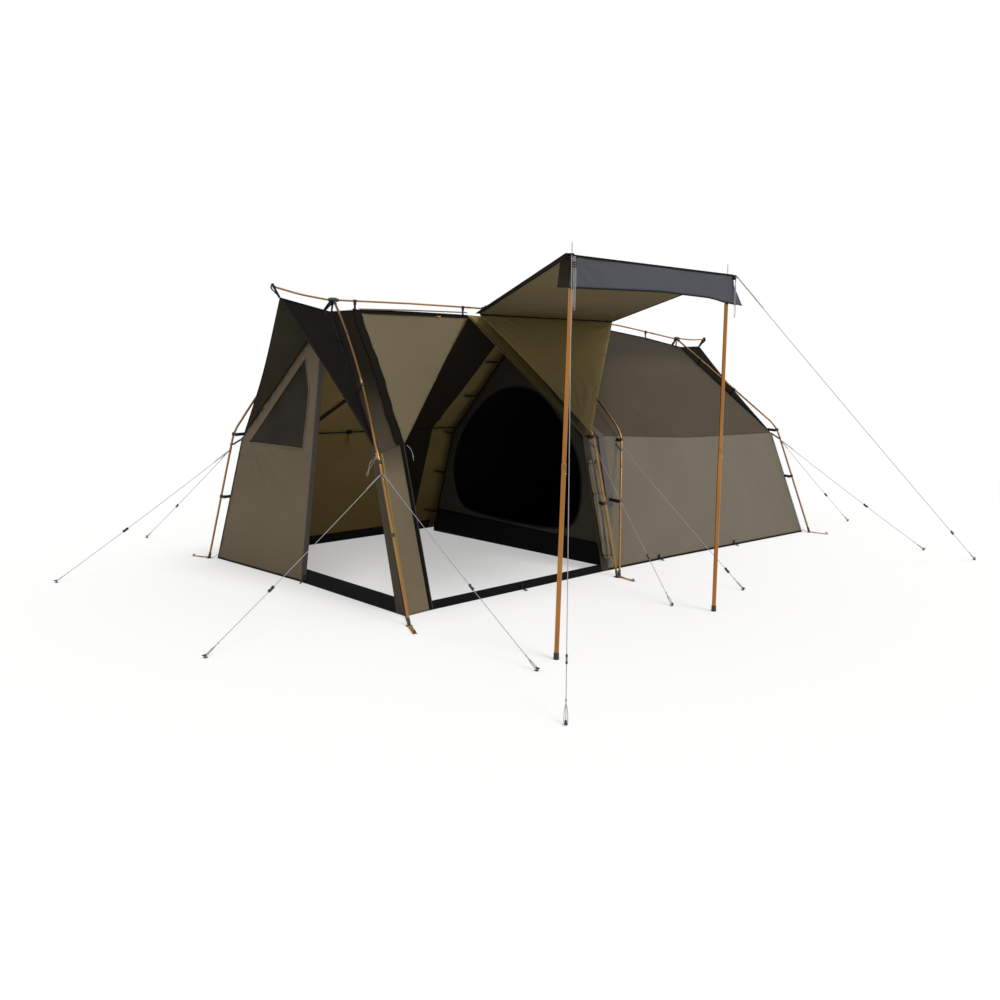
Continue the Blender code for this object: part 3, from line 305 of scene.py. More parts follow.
def webbing(name, colour, pitch=0.0022):
    """Narrow woven strap with ribs across it."""
    b = Board(name)
    flat = b.node("ShaderNodeUVMap", {"uv_map": "cloth"})
    across, along = b.axis(flat, "X"), b.axis(flat, "Y")
    ribs = (along / pitch + (across / pitch).wave() * 0.5).wave()
    flecks = b.noise(260.0, 2.0)
    shade = b.noise(14.0, 3.0)
    base = b.mix(ribs * 0.45 + flecks * 0.3, tinted(colour, 0.62), tinted(colour, 1.12))
    base = b.mix(shade.between(0.35, 0.7) * 0.3, base, tinted(colour, 0.75))
    return b.finish(colour=base, rough=flecks * 0.12 + 0.78, normal=b.bump(ribs, pitch * 0.25, 0.8), specular=0.15)


def braided(name, colour):
    """Braided cord: crossing strands round it."""
    twist = 0.0045
    b = Board(name)
    flat = b.node("ShaderNodeUVMap", {"uv_map": "cloth"})
    around, along = b.axis(flat, "X"), b.axis(flat, "Y") / twist
    left = (along + around * 3.0).wave()
    right = (along - around * 3.0).wave()
    strands = left * right
    flecks = b.noise(500.0, 1.0)
    base = b.mix(strands * 0.7 + flecks * 0.25, tinted(colour, 0.60), tinted(colour, 1.15))
    return b.finish(colour=base, rough=0.80 - strands * 0.08, normal=b.bump(strands, 0.0006, 0.7), specular=0.25)


def netting(name, colour):
    """Fine insect mesh: threads with open squares between them."""
    hole, cover = 0.0024, 0.62
    b = Board(name)
    flat = b.node("ShaderNodeUVMap", {"uv_map": "cloth"})
    u, v = (b.axis(flat, "X") / hole).wave(), (b.axis(flat, "Y") / hole).wave()
    threads = b.maths("MAXIMUM", u, v)
    cloud = b.noise(2.4, 2.0)
    base = b.mix(cloud.between(0.35, 0.65), tinted(colour, 0.85), tinted(colour, 1.15))
    open_share = threads.between(0.30, 0.75) * (1 - cover) + cover
    return b.finish(colour=base, rough=0.75 - threads * 0.05, normal=b.bump(threads, 0.0004, 0.6),
                    alpha=open_share, specular=0.12)


CHAMFER_SHARE = 0.18        # chamfer of a small bar, as a share of its least size
LEAST_AREA_SHARE = 0.31     # least part of its flat box that a sheet may fill


def vec(*numbers):
    return Vector(numbers)


UP = vec(0, 0, 1)


def square(way, along):
    """The part of a direction that is square to another one, with length 1."""
    return (way - along * way.dot(along)).normalized()


def directions(points):
    """The way that a line runs at each of its points."""
    last = len(points) - 1
    return [(points[min(i + 1, last)] - points[max(i - 1, 0)]).normalized() for i in range(len(points))]


def run_lengths(points):
    """The length of a line up to each of its points."""
    runs = [0.0]
    for a, b in zip(points, points[1:]):
        runs.append(runs[-1] + (b - a).length)
    return runs


def round_ways(side, other, count):
    """Directions all round, in the plane of two that are square to each other."""
    return [side * math.cos(math.tau * k / count) + other * math.sin(math.tau * k / count) for k in range(count)]


class Shape:
    """Points, faces and cloth coordinates of a piece while it is being made."""

    def __init__(self):
        self.points, self.faces, self.flat, self.slots = [], [], [], []

    def grid(self, rows, flat, slot=0, wrap=False):
        """Quads between rows of points; flat(j, i) gives the cloth coordinates in metres."""
        start, wide = len(self.points), len(rows[0])
        for row in rows:
            self.points += [Vector(p) for p in row]
        for j in range(len(rows) - 1):
            for i in range(wide if wrap else wide - 1):
                n = (i + 1) % wide
                self.faces.append([start + j * wide + i, start + j * wide + n,
                                   start + (j + 1) * wide + n, start + (j + 1) * wide + i])
                self.flat.append([flat(j, i), flat(j, i + 1), flat(j + 1, i + 1), flat(j + 1, i)])
                self.slots.append(slot)
        return self

    def cap(self, ring, slot=0, flip=False):
        """One flat face over a ring of points."""
        start = len(self.points)
        self.points += [Vector(p) for p in ring]
        order = list(range(start, start + len(ring)))
        self.faces.append(order[::-1] if flip else order)
        self.flat.append([(p[0], p[2]) for p in (ring[::-1] if flip else ring)])
        self.slots.append(slot)

    def closed(self, rows, flat, slot=0):
        """A grid of rings with a cap on both ends."""
        self.grid(rows, flat, slot, wrap=True)
        self.cap(rows[0], slot, flip=True)
        self.cap(rows[-1], slot)
        return self

    def tube(self, points, radius, sides=20, slot=0):
        """A round tube; radius is one number or one for each point."""
        points = [Vector(p) for p in points]
        radii = radius if isinstance(radius, (list, tuple)) else [radius] * len(points)
        side = directions(points)[0].orthogonal()
        rows = []
        for p, along, r in zip(points, directions(points), radii):
            side = square(side, along)
            rows.append([p + way * r for way in round_ways(side, along.cross(side), sides)])
        runs = run_lengths(points)
        return self.closed(rows, lambda j, i: (i / sides, runs[j]), slot)

    def ribbon(self, points, facing, width, thick=0.0016, slot=0, lift=0.0):
        """A flat strap through the points; facing is the way its face looks."""
        points = [Vector(p) for p in points]
        rows, runs = [], [0.0]
        for i, along in enumerate(directions(points)):
            face = square(Vector(facing), along)
            half = along.cross(face) * width / 2
            p = points[i] + face * lift
            rows.append([p - half, p + half, p + half + face * thick, p - half + face * thick])
            if i:
                runs.append(runs[-1] + (p - points[i - 1]).length)
        marks = (0.0, width, width + thick, width * 2 + thick, width * 2 + thick * 2)
        return self.closed(rows, lambda j, i: (marks[i], runs[j]), slot)

    def lathe(self, base, axis, profile, sides=24, slot=0):
        """A turned form: profile holds (distance along the axis, radius)."""
        base, axis = Vector(base), Vector(axis).normalized()
        side = axis.orthogonal().normalized()
        ways = round_ways(side, axis.cross(side), sides)
        rows = [[base + axis * h + way * max(r, 1e-5) for way in ways] for h, r in profile]
        return self.closed(rows, lambda j, i: (i / sides, profile[j][0]), slot)

    def block(self, middle, x, y, z, size, slot=0):
        """A small bar with chamfered edges along the axes x, y and z."""
        middle, (x, y, z) = Vector(middle), (Vector(axis).normalized() for axis in (x, y, z))
        cut = min(size) * CHAMFER_SHARE
        rows = []
        for h, shrink in ((-0.5, 1), (-0.5, 0), (0.5, 0), (0.5, 1)):
            height = size[2] * h + (0 if shrink else (cut if h < 0 else -cut))
            a, b = size[0] / 2 - cut * shrink, size[1] / 2 - cut * shrink
            ring = [(a - cut, -b), (a, -b + cut), (a, b - cut), (a - cut, b),
                    (-a + cut, b), (-a, b - cut), (-a, -b + cut), (-a + cut, -b)]
            rows.append([middle + x * p + y * q + z * height for p, q in ring])
        return self.closed(rows, lambda j, i: (i * 0.01, j * 0.01), slot)

    def build(self, name, *finishes, angle=38):
        """The mesh object, closed, smooth and with its cloth coordinates."""
        mesh = bpy.data.meshes.new(name)
        mesh.from_pydata([tuple(p) for p in self.points], [], self.faces)
        layer = mesh.uv_layers.new(name="cloth")
        corners = [c for face in self.flat for c in face]
        layer.data.foreach_set("uv", [x for c in corners for x in c])
        mesh.polygons.foreach_set("material_index", self.slots)
        for finish in finishes:
            mesh.materials.append(look(finish))
        bm = bmesh.new()
        bm.from_mesh(mesh)
        bmesh.ops.remove_doubles(bm, verts=bm.verts, dist=2e-5)
        bmesh.ops.recalc_face_normals(bm, faces=bm.faces)
        bm.to_mesh(mesh)
        bm.free()
        mesh.shade_smooth()
        mesh.set_sharp_from_angle(angle=math.radians(angle))
        return linked(name, mesh)


def linked(name, data):
    """A new object in the scene."""
    made = bpy.data.objects.new(name, data)
    bpy.context.scene.collection.objects.link(made)
    return made


def put(piece, slot, *nodes, body="tent"):
    """Ride a piece on a body and let it stand for CAD nodes, which it hides; its slot, meant to name its finish, is not
    used.
    """
    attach(piece, body)
    if nodes:
        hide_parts(*nodes)
    return piece


def line_length(points):
    return sum((b - a).length for a, b in zip(points, points[1:]))


def along_line(points, share):
    """The point at a share of a polyline's length."""
    left = min(max(share, 0.0), 1.0) * line_length(points)
    for a, b in zip(points, points[1:]):
        step = (b - a).length
        if left <= step or b is points[-1]:
            return a.lerp(b, min(left / max(step, 1e-9), 1.0))
        left -= step
    return points[-1]


def smooth_line(points, steps):
    """Points along a smooth curve through the given ones."""
    pts = [Vector(p) for p in points]
    pts = [pts[0] * 2 - pts[1]] + pts + [pts[-1] * 2 - pts[-2]]
    out = []
    for i in range(1, len(pts) - 2):
        a, b, c, d = pts[i - 1:i + 3]
        for k in range(steps):
            t = k / steps
            out.append(0.5 * (2 * b + (c - a) * t + (2 * a - 5 * b + 4 * c - d) * t * t
                              + (3 * b - a - 3 * c + d) * t ** 3))
    return out + [pts[-2]]


def smooth_loop(points, steps):
    """A smooth closed curve through flat points, as 3-D points at height 0."""
    flat = [vec(*p, 0.0) for p in points]
    line = smooth_line([*flat[-2:], *flat, *flat[:2]], steps)
    return line[steps * 2:steps * (2 + len(flat))]


def ruled(upper, lower):
    """A surface between two lines, measured in metres across and down, with its width and height."""
    upper, lower = [Vector(p) for p in upper], [Vector(p) for p in lower]
    wide = (line_length(upper) + line_length(lower)) / 2
    high = ((upper[0] - lower[0]).length + (upper[-1] - lower[-1]).length) / 2

    def spot(u, v):
        return along_line(upper, u / wide).lerp(along_line(lower, u / wide), v / high)
    return spot, wide, high


def rim_distance(u, v, loops):
    """Distance from a flat point to the nearest edge of the loops."""
    best = 9.0
    for loop in loops:
        for (ax, ay), (bx, by) in zip(loop, (*loop[1:], loop[0])):
            dx, dy = bx - ax, by - ay
            t = ((u - ax) * dx + (v - ay) * dy) / max(dx * dx + dy * dy, 1e-12)
            t = min(max(t, 0.0), 1.0)
            best = min(best, math.hypot(u - ax - dx * t, v - ay - dy * t))
    return best


def right_of(line, u, v):
    """Whether a flat point lies right of a line that runs down the panel."""
    if line is None:
        return True
    (ax, ay), (bx, by) = line
    return (bx - ax) * (v - ay) < (by - ay) * (u - ax)


def inside(u, v, loop):
    """Whether a flat point lies in a loop."""
    hit = False
    for (ax, ay), (bx, by) in zip(loop, loop[1:] + loop[:1]):
        if (ay > v) != (by > v) and u < (bx - ax) * (v - ay) / (by - ay) + ax:
            hit = not hit
    return hit


def dense(loop, step):
    """The loop with points added along its edges."""
    out = []
    for (ax, ay), (bx, by) in zip(loop, loop[1:] + loop[:1]):
        parts = max(1, round(math.hypot(bx - ax, by - ay) / step))
        out += [(ax + (bx - ax) * k / parts, ay + (by - ay) * k / parts) for k in range(parts)]
    return out


def folds(u, v, anchors):
    """Height of the tension folds that fan out from the points where the cloth is held."""
    total = 0.0
    for ax, ay, reach, height, count, turn in anchors:
        dx, dy = u - ax, v - ay
        away = math.hypot(dx, dy)
        fade = math.exp(-(away / reach) ** 2) * min(1.0, away / 0.03)
        total += height * fade * math.cos(count * math.atan2(dy, dx) + turn + 2.0 * math.sin(away * 9.0))
    return total


def cloth(name, rim, spot, finishes, out, holes=(), step=0.032, sag=0.0, wave=0.004, anchors=(), seed=0.0,
          thick=None, edge=0.05, middle=None, band=None):
    """A sheet on the surface spot(u, v), and its area: out is the way its outer face looks.

    The rim and holes are flat outlines in metres; finishes names the outer face's and the lining's. The relief
    is a sag, soft waves and tension folds, all of which fade at the edges, so that panels meet along their seams.
    A band (left line, right line, outer, lining) has its own finishes between two flat lines; its left line may
    be None.
    """
    thick = thick or bpy.context.scene.tent_fabrics.cloth
    plain = [list(rim)] + [list(hole) for hole in holes]
    loops = [dense(loop, step) for loop in plain]
    flat, edges = [], []
    for loop in loops:
        start = len(flat)
        flat += loop
        edges += [(start + i, start + (i + 1) % len(loop)) for i in range(len(loop))]
    low_u, high_u = min(p[0] for p in rim), max(p[0] for p in rim)
    low_v, high_v = min(p[1] for p in rim), max(p[1] for p in rim)
    lines = [line for line in (band[:2] if band else ()) if line]
    for (au, av), (bu, bv) in lines:
        parts = max(2, round(math.hypot(bu - au, bv - av) / step))
        edges += [(len(flat) + k, len(flat) + k + 1) for k in range(parts)]
        flat += [(au + (bu - au) * k / parts, av + (bv - av) * k / parts) for k in range(parts + 1)]
    rows = int((high_v - low_v) / (step * 0.87)) + 1
    for j in range(rows + 1):
        v = low_v + j * step * 0.87
        shift = step / 2 * (j % 2)
        for i in range(int((high_u - low_u) / step) + 2):
            u = low_u + i * step + shift
            if inside(u, v, plain[0]) and not any(inside(u, v, hole) for hole in plain[1:]) \
                    and rim_distance(u, v, plain + lines) > step * 0.45:
                flat.append((u, v))
    points, _, faces, _, _, _ = delaunay_2d_cdt([Vector(p) for p in flat], edges, [], 0, 1e-7)
    keep, dark = [], []
    for face in faces:
        cu = sum(points[k].x for k in face) / len(face)
        cv = sum(points[k].y for k in face) / len(face)
        if inside(cu, cv, plain[0]) and not any(inside(cu, cv, hole) for hole in plain[1:]):
            keep.append(list(face))
            dark.append(2 if band and right_of(band[0], cu, cv) and not right_of(band[1], cu, cv) else 0)
    out = Vector(out)
    cu, cv = middle or ((low_u + high_u) / 2, (low_v + high_v) / 2)
    places = []
    for p in points:
        u, v = p.x, p.y
        base = spot(u, v)
        fade = min(1.0, rim_distance(u, v, plain) / edge)
        fade = fade * fade * (3 - 2 * fade)
        bulge = math.exp(-((u - cu) / (high_u - low_u) * 2.2) ** 2 - ((v - cv) / (high_v - low_v) * 2.2) ** 2)
        roll = noise.noise(vec(u * 1.9 + seed, v * 1.9, seed)) + 0.5 * noise.noise(
            vec(u * 5.1, v * 5.1 + seed, seed))
        height = (wave * roll + folds(u, v, anchors) - sag * bulge) * fade
        far = 0.004
        normal = (spot(u + far, v) - spot(u - far, v)).cross(spot(u, v + far) - spot(u, v - far))
        normal = normal.normalized() if normal.length > 1e-12 else out
        normal = -normal if normal.dot(out) < 0 else normal
        places.append(base + normal * height)
    mesh = bpy.data.meshes.new(name)
    mesh.from_pydata([tuple(p) for p in places], [], keep)
    layer = mesh.uv_layers.new(name="cloth")
    for polygon in mesh.polygons:
        for k in polygon.loop_indices:
            index = mesh.loops[k].vertex_index
            layer.data[k].uv = (points[index].x, points[index].y)
    mesh.update()
    facing = sum(polygon.normal.dot(out) * polygon.area for polygon in mesh.polygons)
    if facing < 0:
        mesh.flip_normals()
    for finish in (*finishes.split(), *(band[2:] if band else ())):
        mesh.materials.append(look(finish))
    mesh.polygons.foreach_set("material_index", dark)
    mesh.shade_smooth()
    made = linked(name, mesh)
    body = made.modifiers.new("thickness", "SOLIDIFY")
    body.thickness, body.offset, body.material_offset = thick, -1.0, 1
    return made, sum(polygon.area for polygon in mesh.polygons)


def panel(name, rim, spot, finishes, out, size, slot, node, held="stretched", pieces=(), body="tent", **relief):
    """A sewn panel in place of a CAD node; size is the flat size that it was cut to."""
    piece, area = cloth(name, rim, spot, finishes, out, **relief)
    wide, high = size
    high = min(max(high, area / wide), area / (LEAST_AREA_SHARE * wide))
    math.ceil(wide * 1000) / 1000
    math.ceil(high * 1000) / 1000
    list(pieces)
    put(piece, slot, node, body=body)


def box_rim(wide, high):
    return [(0.0, 0.0), (wide, 0.0), (wide, high), (0.0, high)]


def ruled_panel(name, upper, lower, finishes, out, slot, node, anchors=(), **more):
    """A four-sided panel between two lines; its anchors' places are shares of its width and height."""
    spot, wide, high = ruled(upper, lower)
    panel(name, box_rim(wide, high), spot, finishes, out, (wide, high), slot, node,
          anchors=[(u * wide, v * high, *rest) for u, v, *rest in anchors], **more)


# The lines of the frame and the canopy, in metres
SIDES, FACES = ((-1, "left"), (1, "right")), ((-1, "front"), (1, "back"))
GAP = 0.0003
FOOT_PLATE, ARCH_RADIUS, HUB_SEAT, COLLAR_SEAT, BEND_REACH = 0.004, 0.0085, 0.022, 0.017, 0.10
FOOT_X, FOOT_Y = 2.49, 1.393
MID_FOOT_X, MID_SPREAD = -0.45, 0.026
BEND_X = 2.431
BEND_SIDE = {-1: (1.009, 1.04), 1: (0.97, 1.11)}
MID_BEND = ((-0.35, 1.12), (0.017, 1.077))
MID_HUB_X = (-0.60, 0.03)
HUB_X = 2.10
HUB_Z = {-1: 2.10, 1: 1.917}
TIP_X = 2.59
TIP_Z = {-1: 2.167, 1: 1.919}
RIDGE = ((-2.10, 2.10), (-1.40, 2.107), (-0.60, 2.103), (0.03, 2.089), (1.02, 2.031), (1.576, 1.972), (2.10, 1.917))
UNDER_POLE = 0.062
SHOULDER = {(-1, -1): (-2.39, -0.95, 1.05), (-1, 1): (-2.37, 0.95, 1.05),
            (1, -1): (2.41, -0.97, 0.97), (1, 1): (2.41, 0.95, 1.02)}
HEM = {(-1, -1): (-2.37, -1.20, 0.0), (-1, 1): (-2.44, 1.33, 0.0),
       (1, -1): (2.46, -1.33, 0.0), (1, 1): (2.46, 1.33, 0.0)}
APEX = {-1: (-2.143, 0.0, 2.014), 1: (2.15, 0.0, 1.83)}
PEAK = {-1: (-2.536, 0.0, 2.09), 1: (2.502, 0.0, 1.842)}
SEAM_X = (-1.40, -0.80, 0.03, 1.02, 1.576)
EAVE_RIGHT = (1.0, -0.965, 0.99)
HEM_MIDDLE = (0.46, -1.215, 0.0)
DOOR_LEFT, DOOR_LEFT_FOOT = (-2.184, -0.953, 1.10), (-2.13, -1.185, 0.0)
DOOR_RIGHT, DOOR_RIGHT_FOOT = (-0.405, -0.955, 1.075), (-0.40, -1.185, 0.0)
JAMB = 0.075
END_ZIP, END_ZIP_TOP = (0.095, 0.02), 1.90
END_POST, END_POST_TOP = (-0.85, -1.10), 1.13
WINDOW = ((0.225, 1.68), (0.150, 1.44), (0.158, 1.24), (0.185, 1.0), (0.865, 1.012))
EDGE_Y, EDGE_Z = -0.16, 2.045
AWN_X, AWN_FRONT_X = (-0.80, 0.87), (-2.235, -0.725)
AWN_Y, AWN_Z, AWN_THICK, AWN_SAG = -2.50, 2.205, 0.006, 0.03
GUSSET_TIP = (-0.42, -1.06, 1.10)
POST_Y, POST_TOP_X, POST_FOOT_X = -2.475, (-2.205, -0.745), (-2.285, -0.755)
POST_PIVOT_Z = 2.18624
VALANCE_Y, VALANCE_Z, VALANCE_HIGH = -2.5046, 2.1993, 0.165
INNER_X, INNER_END, INNER_HALF, INNER_FOOT = -0.24, 2.18, 0.86, 1.15
INNER_SHOULDER, INNER_RIDGE = 0.98, (1.86, 1.62)
INNER_DOOR = ((-0.06, 1.445), (0.23, 1.40), (0.50, 1.23), (0.72, 0.99), (0.83, 0.74), (0.82, 0.49), (0.69, 0.30),
              (0.30, 0.245), (-0.20, 0.232), (-0.54, 0.25), (-0.73, 0.33), (-0.80, 0.57), (-0.76, 0.86), (-0.56, 1.17),
              (-0.32, 1.38))
RING_Z = {"front_left": 0.925, "back_left": 0.935, "front_right": 0.890, "middle_left": 0.960, "middle_right": 0.960}
GUYLINES = {
    "guyline_back_left_a": ("back_left", (-3.745, 1.305), 0.62),
    "guyline_back_left_b": ("back_left", (-2.512, 2.655), 0.60),
    "guyline_front_left_a": ("front_left", (-3.725, -1.142), 0.66),
    "guyline_front_left_b": ("front_left", (-2.510, -2.545), 0.62),
    "guyline_front_middle_a": ("middle_left", (-0.855, -2.205), 0.72),
    "guyline_front_middle_b": ("middle_right", (-0.100, -2.285), 0.88),
    "guyline_front_right_a": ("front_right", (2.417, -2.545), 0.62),
    "guyline_front_right_b": ("front_right", (3.410, -1.335), 0.66),
    "guyline_awning_near": ("corner_left", (-2.945, -3.164), 0.88),
    "guyline_awning_far": ("corner_right", (2.318, -3.015), 0.88),
}
PEG_TOP, CORD_DROP, CORD_RADIUS, CORD_STEPS, CORNER_TAB = 0.012, 0.008, 0.002, 60, 0.034
TAIL_WAY = {"front_left": (-0.06, -0.12), "back_left": (-0.07, 0.19), "front_right": (0.03, -0.20),
            "back_right": (0.03, 0.20), "front_middle": (-0.03, -0.185), "back_middle": (-0.03, 0.185)}


def ridge_z(x):
    """Height of the ridge pole at x."""
    for (x0, z0), (x1, z1) in zip(RIDGE, RIDGE[1:]):
        if x <= x1:
            return z0 + (z1 - z0) * (x - x0) / (x1 - x0)
    return RIDGE[-1][1]


def roof_ridge(x):
    return vec(x, 0.0, ridge_z(x) - UNDER_POLE)


def at_height(a, b, z):
    """The point at height z on the line from a to b."""
    a, b = Vector(a), Vector(b)
    return a.lerp(b, (z - a.z) / (b.z - a.z))


def seam_point(side, face, z):
    """A point of the arch seam at an end of the canopy: side -1 is left, face -1 is the front."""
    shoulder = SHOULDER[side, face]
    return at_height(HEM[side, face], shoulder, z) if z < shoulder[2] else at_height(shoulder, APEX[side], z)


def end_point(side, y, z):
    """A point of an end wall, between its two arch seams."""
    near, far = seam_point(side, -1, z), seam_point(side, 1, z)
    span = far.y - near.y
    return near.lerp(far, (y - near.y) / span) if abs(span) > 1e-4 else near


def zip_line_y(z):
    return END_ZIP[0] + (END_ZIP[1] - END_ZIP[0]) * z / END_ZIP_TOP


def foot_point(x, y, bend):
    run = vec(bend[0] - x, bend[1] - y).length
    return vec(x, y, FOOT_PLATE + GAP + ARCH_RADIUS * run / math.hypot(run, bend[2]))


def bent(foot, bend, top, bow=0.0):
    """A pole's line: straight up to a rounded bend, then on to the top, bowed out a little."""
    foot, bend, top = Vector(foot), Vector(bend), Vector(top)
    low = bend + (foot - bend).normalized() * BEND_REACH
    high = bend + (top - bend).normalized() * BEND_REACH
    points = [foot.lerp(low, k / 6) for k in range(6)]
    for k in range(13):
        t = k / 12
        points.append(low * (1 - t) ** 2 + bend * 2 * t * (1 - t) + high * t * t)
    span = top - high
    out = (vec(0, bend.y, bend.z) - UP * 0.6).normalized()
    points += [high + span * k / 16 + out * bow * 4 * (k / 16) * (1 - k / 16) for k in range(1, 17)]
    return points


def socket_point(hub, bend, radius, bow):
    hub, bend = Vector(hub), Vector(bend)
    out = vec(0, bend.y - hub.y, bend.z - hub.z)
    tilt = math.hypot(abs(bend.x - hub.x), 4 * bow) / out.length
    return hub + out.normalized() * (radius + 0.0005 + ARCH_RADIUS * tilt)


def arch_line(side, face):
    """The pole from a corner foot to its end hub."""
    foot, bend = corner_stem(side, face)
    bow = 0.045 if side < 0 else 0.0
    return bent(foot, bend, socket_point((side * HUB_X, 0, HUB_Z[side]), bend, HUB_SEAT, bow), bow)


def middle_stem(number, face):
    """Foot and bend of one of the two poles that stand on a middle foot."""
    bend = vec(MID_BEND[number][0], face * BEND_SIDE[face][0], MID_BEND[number][1])
    return foot_point(MID_FOOT_X + (-1, 1)[number] * MID_SPREAD / 2, face * FOOT_Y, bend), bend


def middle_line(number, face):
    """The pole from a middle foot to its collar on the ridge."""
    foot, bend = middle_stem(number, face)
    hub_x = MID_HUB_X[number]
    return bent(foot, bend, socket_point((hub_x, 0, ridge_z(hub_x)), bend, COLLAR_SEAT, 0.0))


def corner_stem(side, face):
    """Foot and bend of a corner's pole."""
    bend = vec(side * BEND_X, face * BEND_SIDE[face][0], BEND_SIDE[face][1])
    return foot_point(side * FOOT_X, face * FOOT_Y, bend), bend


def stem(place):
    """Foot and bend of the pole that a guyline's ring sits on."""
    side = -1 if place.endswith("left") else 1
    if place.startswith("middle"):
        return middle_stem((side + 1) // 2, -1)
    return corner_stem(side, -1 if place.startswith("front") else 1)


def corner_tab_end(x, sign):
    """The outer end of the tab at a front corner of the raised panel."""
    reach = CORNER_TAB / math.sqrt(2)
    return vec(x + sign * (reach - 0.012), AWN_Y + 0.012 - reach, AWN_Z - AWN_THICK / 2)


def tie_point(place, peg):
    """Upper end of a guyline, a hair outside what it is tied to."""
    if place.startswith("corner"):
        x, sign = (AWN_FRONT_X[0], -1) if place.endswith("left") else (AWN_FRONT_X[1], 1)
        surface, away = corner_tab_end(x, sign), vec(sign, -1, 0).normalized()
    else:
        foot, bend = stem(place)
        centre = at_height(foot, bend, RING_Z[place])
        up = (bend - foot).normalized()
        away = square(peg - centre, up)
        surface = centre + away * ARCH_RADIUS
    run = (peg - surface).normalized()
    return surface + away * (CORD_RADIUS * math.sqrt(1 - away.dot(run) ** 2) + GAP)


def guyline_route(place, peg):
    """A guyline's centre line from its tie to its peg, with a slight drop between them."""
    tie = tie_point(place, peg)
    shares = [k / CORD_STEPS for k in range(CORD_STEPS + 1)]
    return [tie.lerp(peg, t) - UP * (CORD_DROP * 4 * t * (1 - t)) for t in shares]


def panel_point(u, v):
    """A point of the raised panel's top face; u runs left to right, v from the ridge edge to the front."""
    back = vec(AWN_X[0] + (AWN_X[1] - AWN_X[0]) * u, EDGE_Y, EDGE_Z)
    front = vec(AWN_FRONT_X[0] + (AWN_FRONT_X[1] - AWN_FRONT_X[0]) * u, AWN_Y, AWN_Z)
    return back.lerp(front, v) - vec(0, 0, AWN_SAG * 16 * u * (1 - u) * v * (1 - v))


def post_pivot(number):
    return vec(POST_TOP_X[number], POST_Y, POST_PIVOT_Z)


def flat_size(rim):
    """Width and height of a flat outline."""
    return max(p[0] for p in rim) - min(p[0] for p in rim), max(p[1] for p in rim)


# Woven finishes: colour, its factor, spread of the shade, other settings, and the lower colour with its two heights,
# which paints shade and light by height
CLOTHS = {
    "wall_cloth": ("wall", 1, 0.07, {}), "end_cloth": ("end", 1, 0.07, {}), "door_cloth": ("door", 1, 0.07, {}),
    # roof_cloth turns darker from 1.58 m up to 1.80 m: painted shade, which stands for the raised panel's shadow on the
    # roof.
    "roof_cloth": ("roof", 0.64, 0.08, {}, "roof", 1.08, 1.58, 1.80),
    # pillar_cloth turns darker from 0.84 m up to 1.10 m: painted shade below the roof strip.
    "pillar_cloth": ("end", 0.40, 0.07, {}, "end", 1, 0.84, 1.10),
    # strip_cloth is near-black painted shade that goes over below 1.62 m into the pillar's painted shade.
    "strip_cloth": ("strip", 1, 0.10, {"shine": 0.05}, "end", 0.40, 1.05, 1.62),
    # fold_cloth turns lighter from 1.30 m up to 1.85 m: painted light.
    "fold_cloth": ("fold", 1.55, 0.08, {}, "fold", 1, 1.30, 1.85),
    # inner_cloth is lighter below 0.25 m and darker above 1.10 m: painted light and shade.
    "inner_cloth": ("inner", 0.9, 0.10, {}, "inner", 1.6, 0.25, 1.10),
    # lining_cloth carries painted light inside the tent.
    "lining_cloth": ("lining", 1, 0.09, {}), "shade_cloth": ("shade", 1, 0.08, {}),
    # Painted shade: the dark band finish below paints shade inside the tent.
    "divider_cloth": ("divider", 1, 0.10, {"shine": 0.05}), "visor_cloth": ("visor", 1, 0.12, {"shine": 0.05}),
    "visor_lining": ("visor_lining", 1, 0.12, {"shine": 0.08}),
    "valance_cloth": ("valance", 1, 0.07, {"ripstop": 0.35}), "inner_side_cloth": ("inner", 1.4, 0.10, {}),
    "mesh_strip": ("mesh", 1, 0.10, {}), "roll_cloth": ("roll", 1, 0.10, {}),
    "tub_cloth": ("tub", 1, 0.12, {"rough": 0.75, "shine": 0.08, "coarse": 1.4}),
}
# Other finishes: maker, group of colours, colour, its factor, and the maker's other values
OTHERS = {
    "binding_tape": (webbing, "fabrics", "binding", 1, 0.0016),
    "zip_cloth": (webbing, "fabrics", "zip_tape", 1, 0.0020),
    "window_net": (netting, "fabrics", "inner", 0.95), "pole_metal": (anodised, "frame", "pole", 1, 0.24),
    "post_metal": (anodised, "frame", "post", 1, 0.15), "ferrule_metal": (anodised, "frame", "ferrule", 1, 0.28),
    "arch_metal": (anodised, "frame", "pole", 0.80, 0.26, 0.42), "moulding": (moulded, "frame", "moulding", 1),
    "peg_moulding": (moulded, "frame", "moulding", 1.5, 0.5), "tooth_plastic": (moulded, "frame", "moulding", 1.2, 0.5),
    "gold_plastic": (moulded, "frame", "webbing", 1.3, 0.35), "foot_webbing": (webbing, "frame", "webbing", 1),
    "grey_webbing": (webbing, "frame", "grey_strap", 1), "black_webbing": (webbing, "frame", "moulding", 1),
    "guyline_braid": (braided, "frame", "cord", 1), "steel": (steel, "frame", "steel", 1),
    "dark_steel": (steel, "frame", "steel", 0.12, 0.35),
}


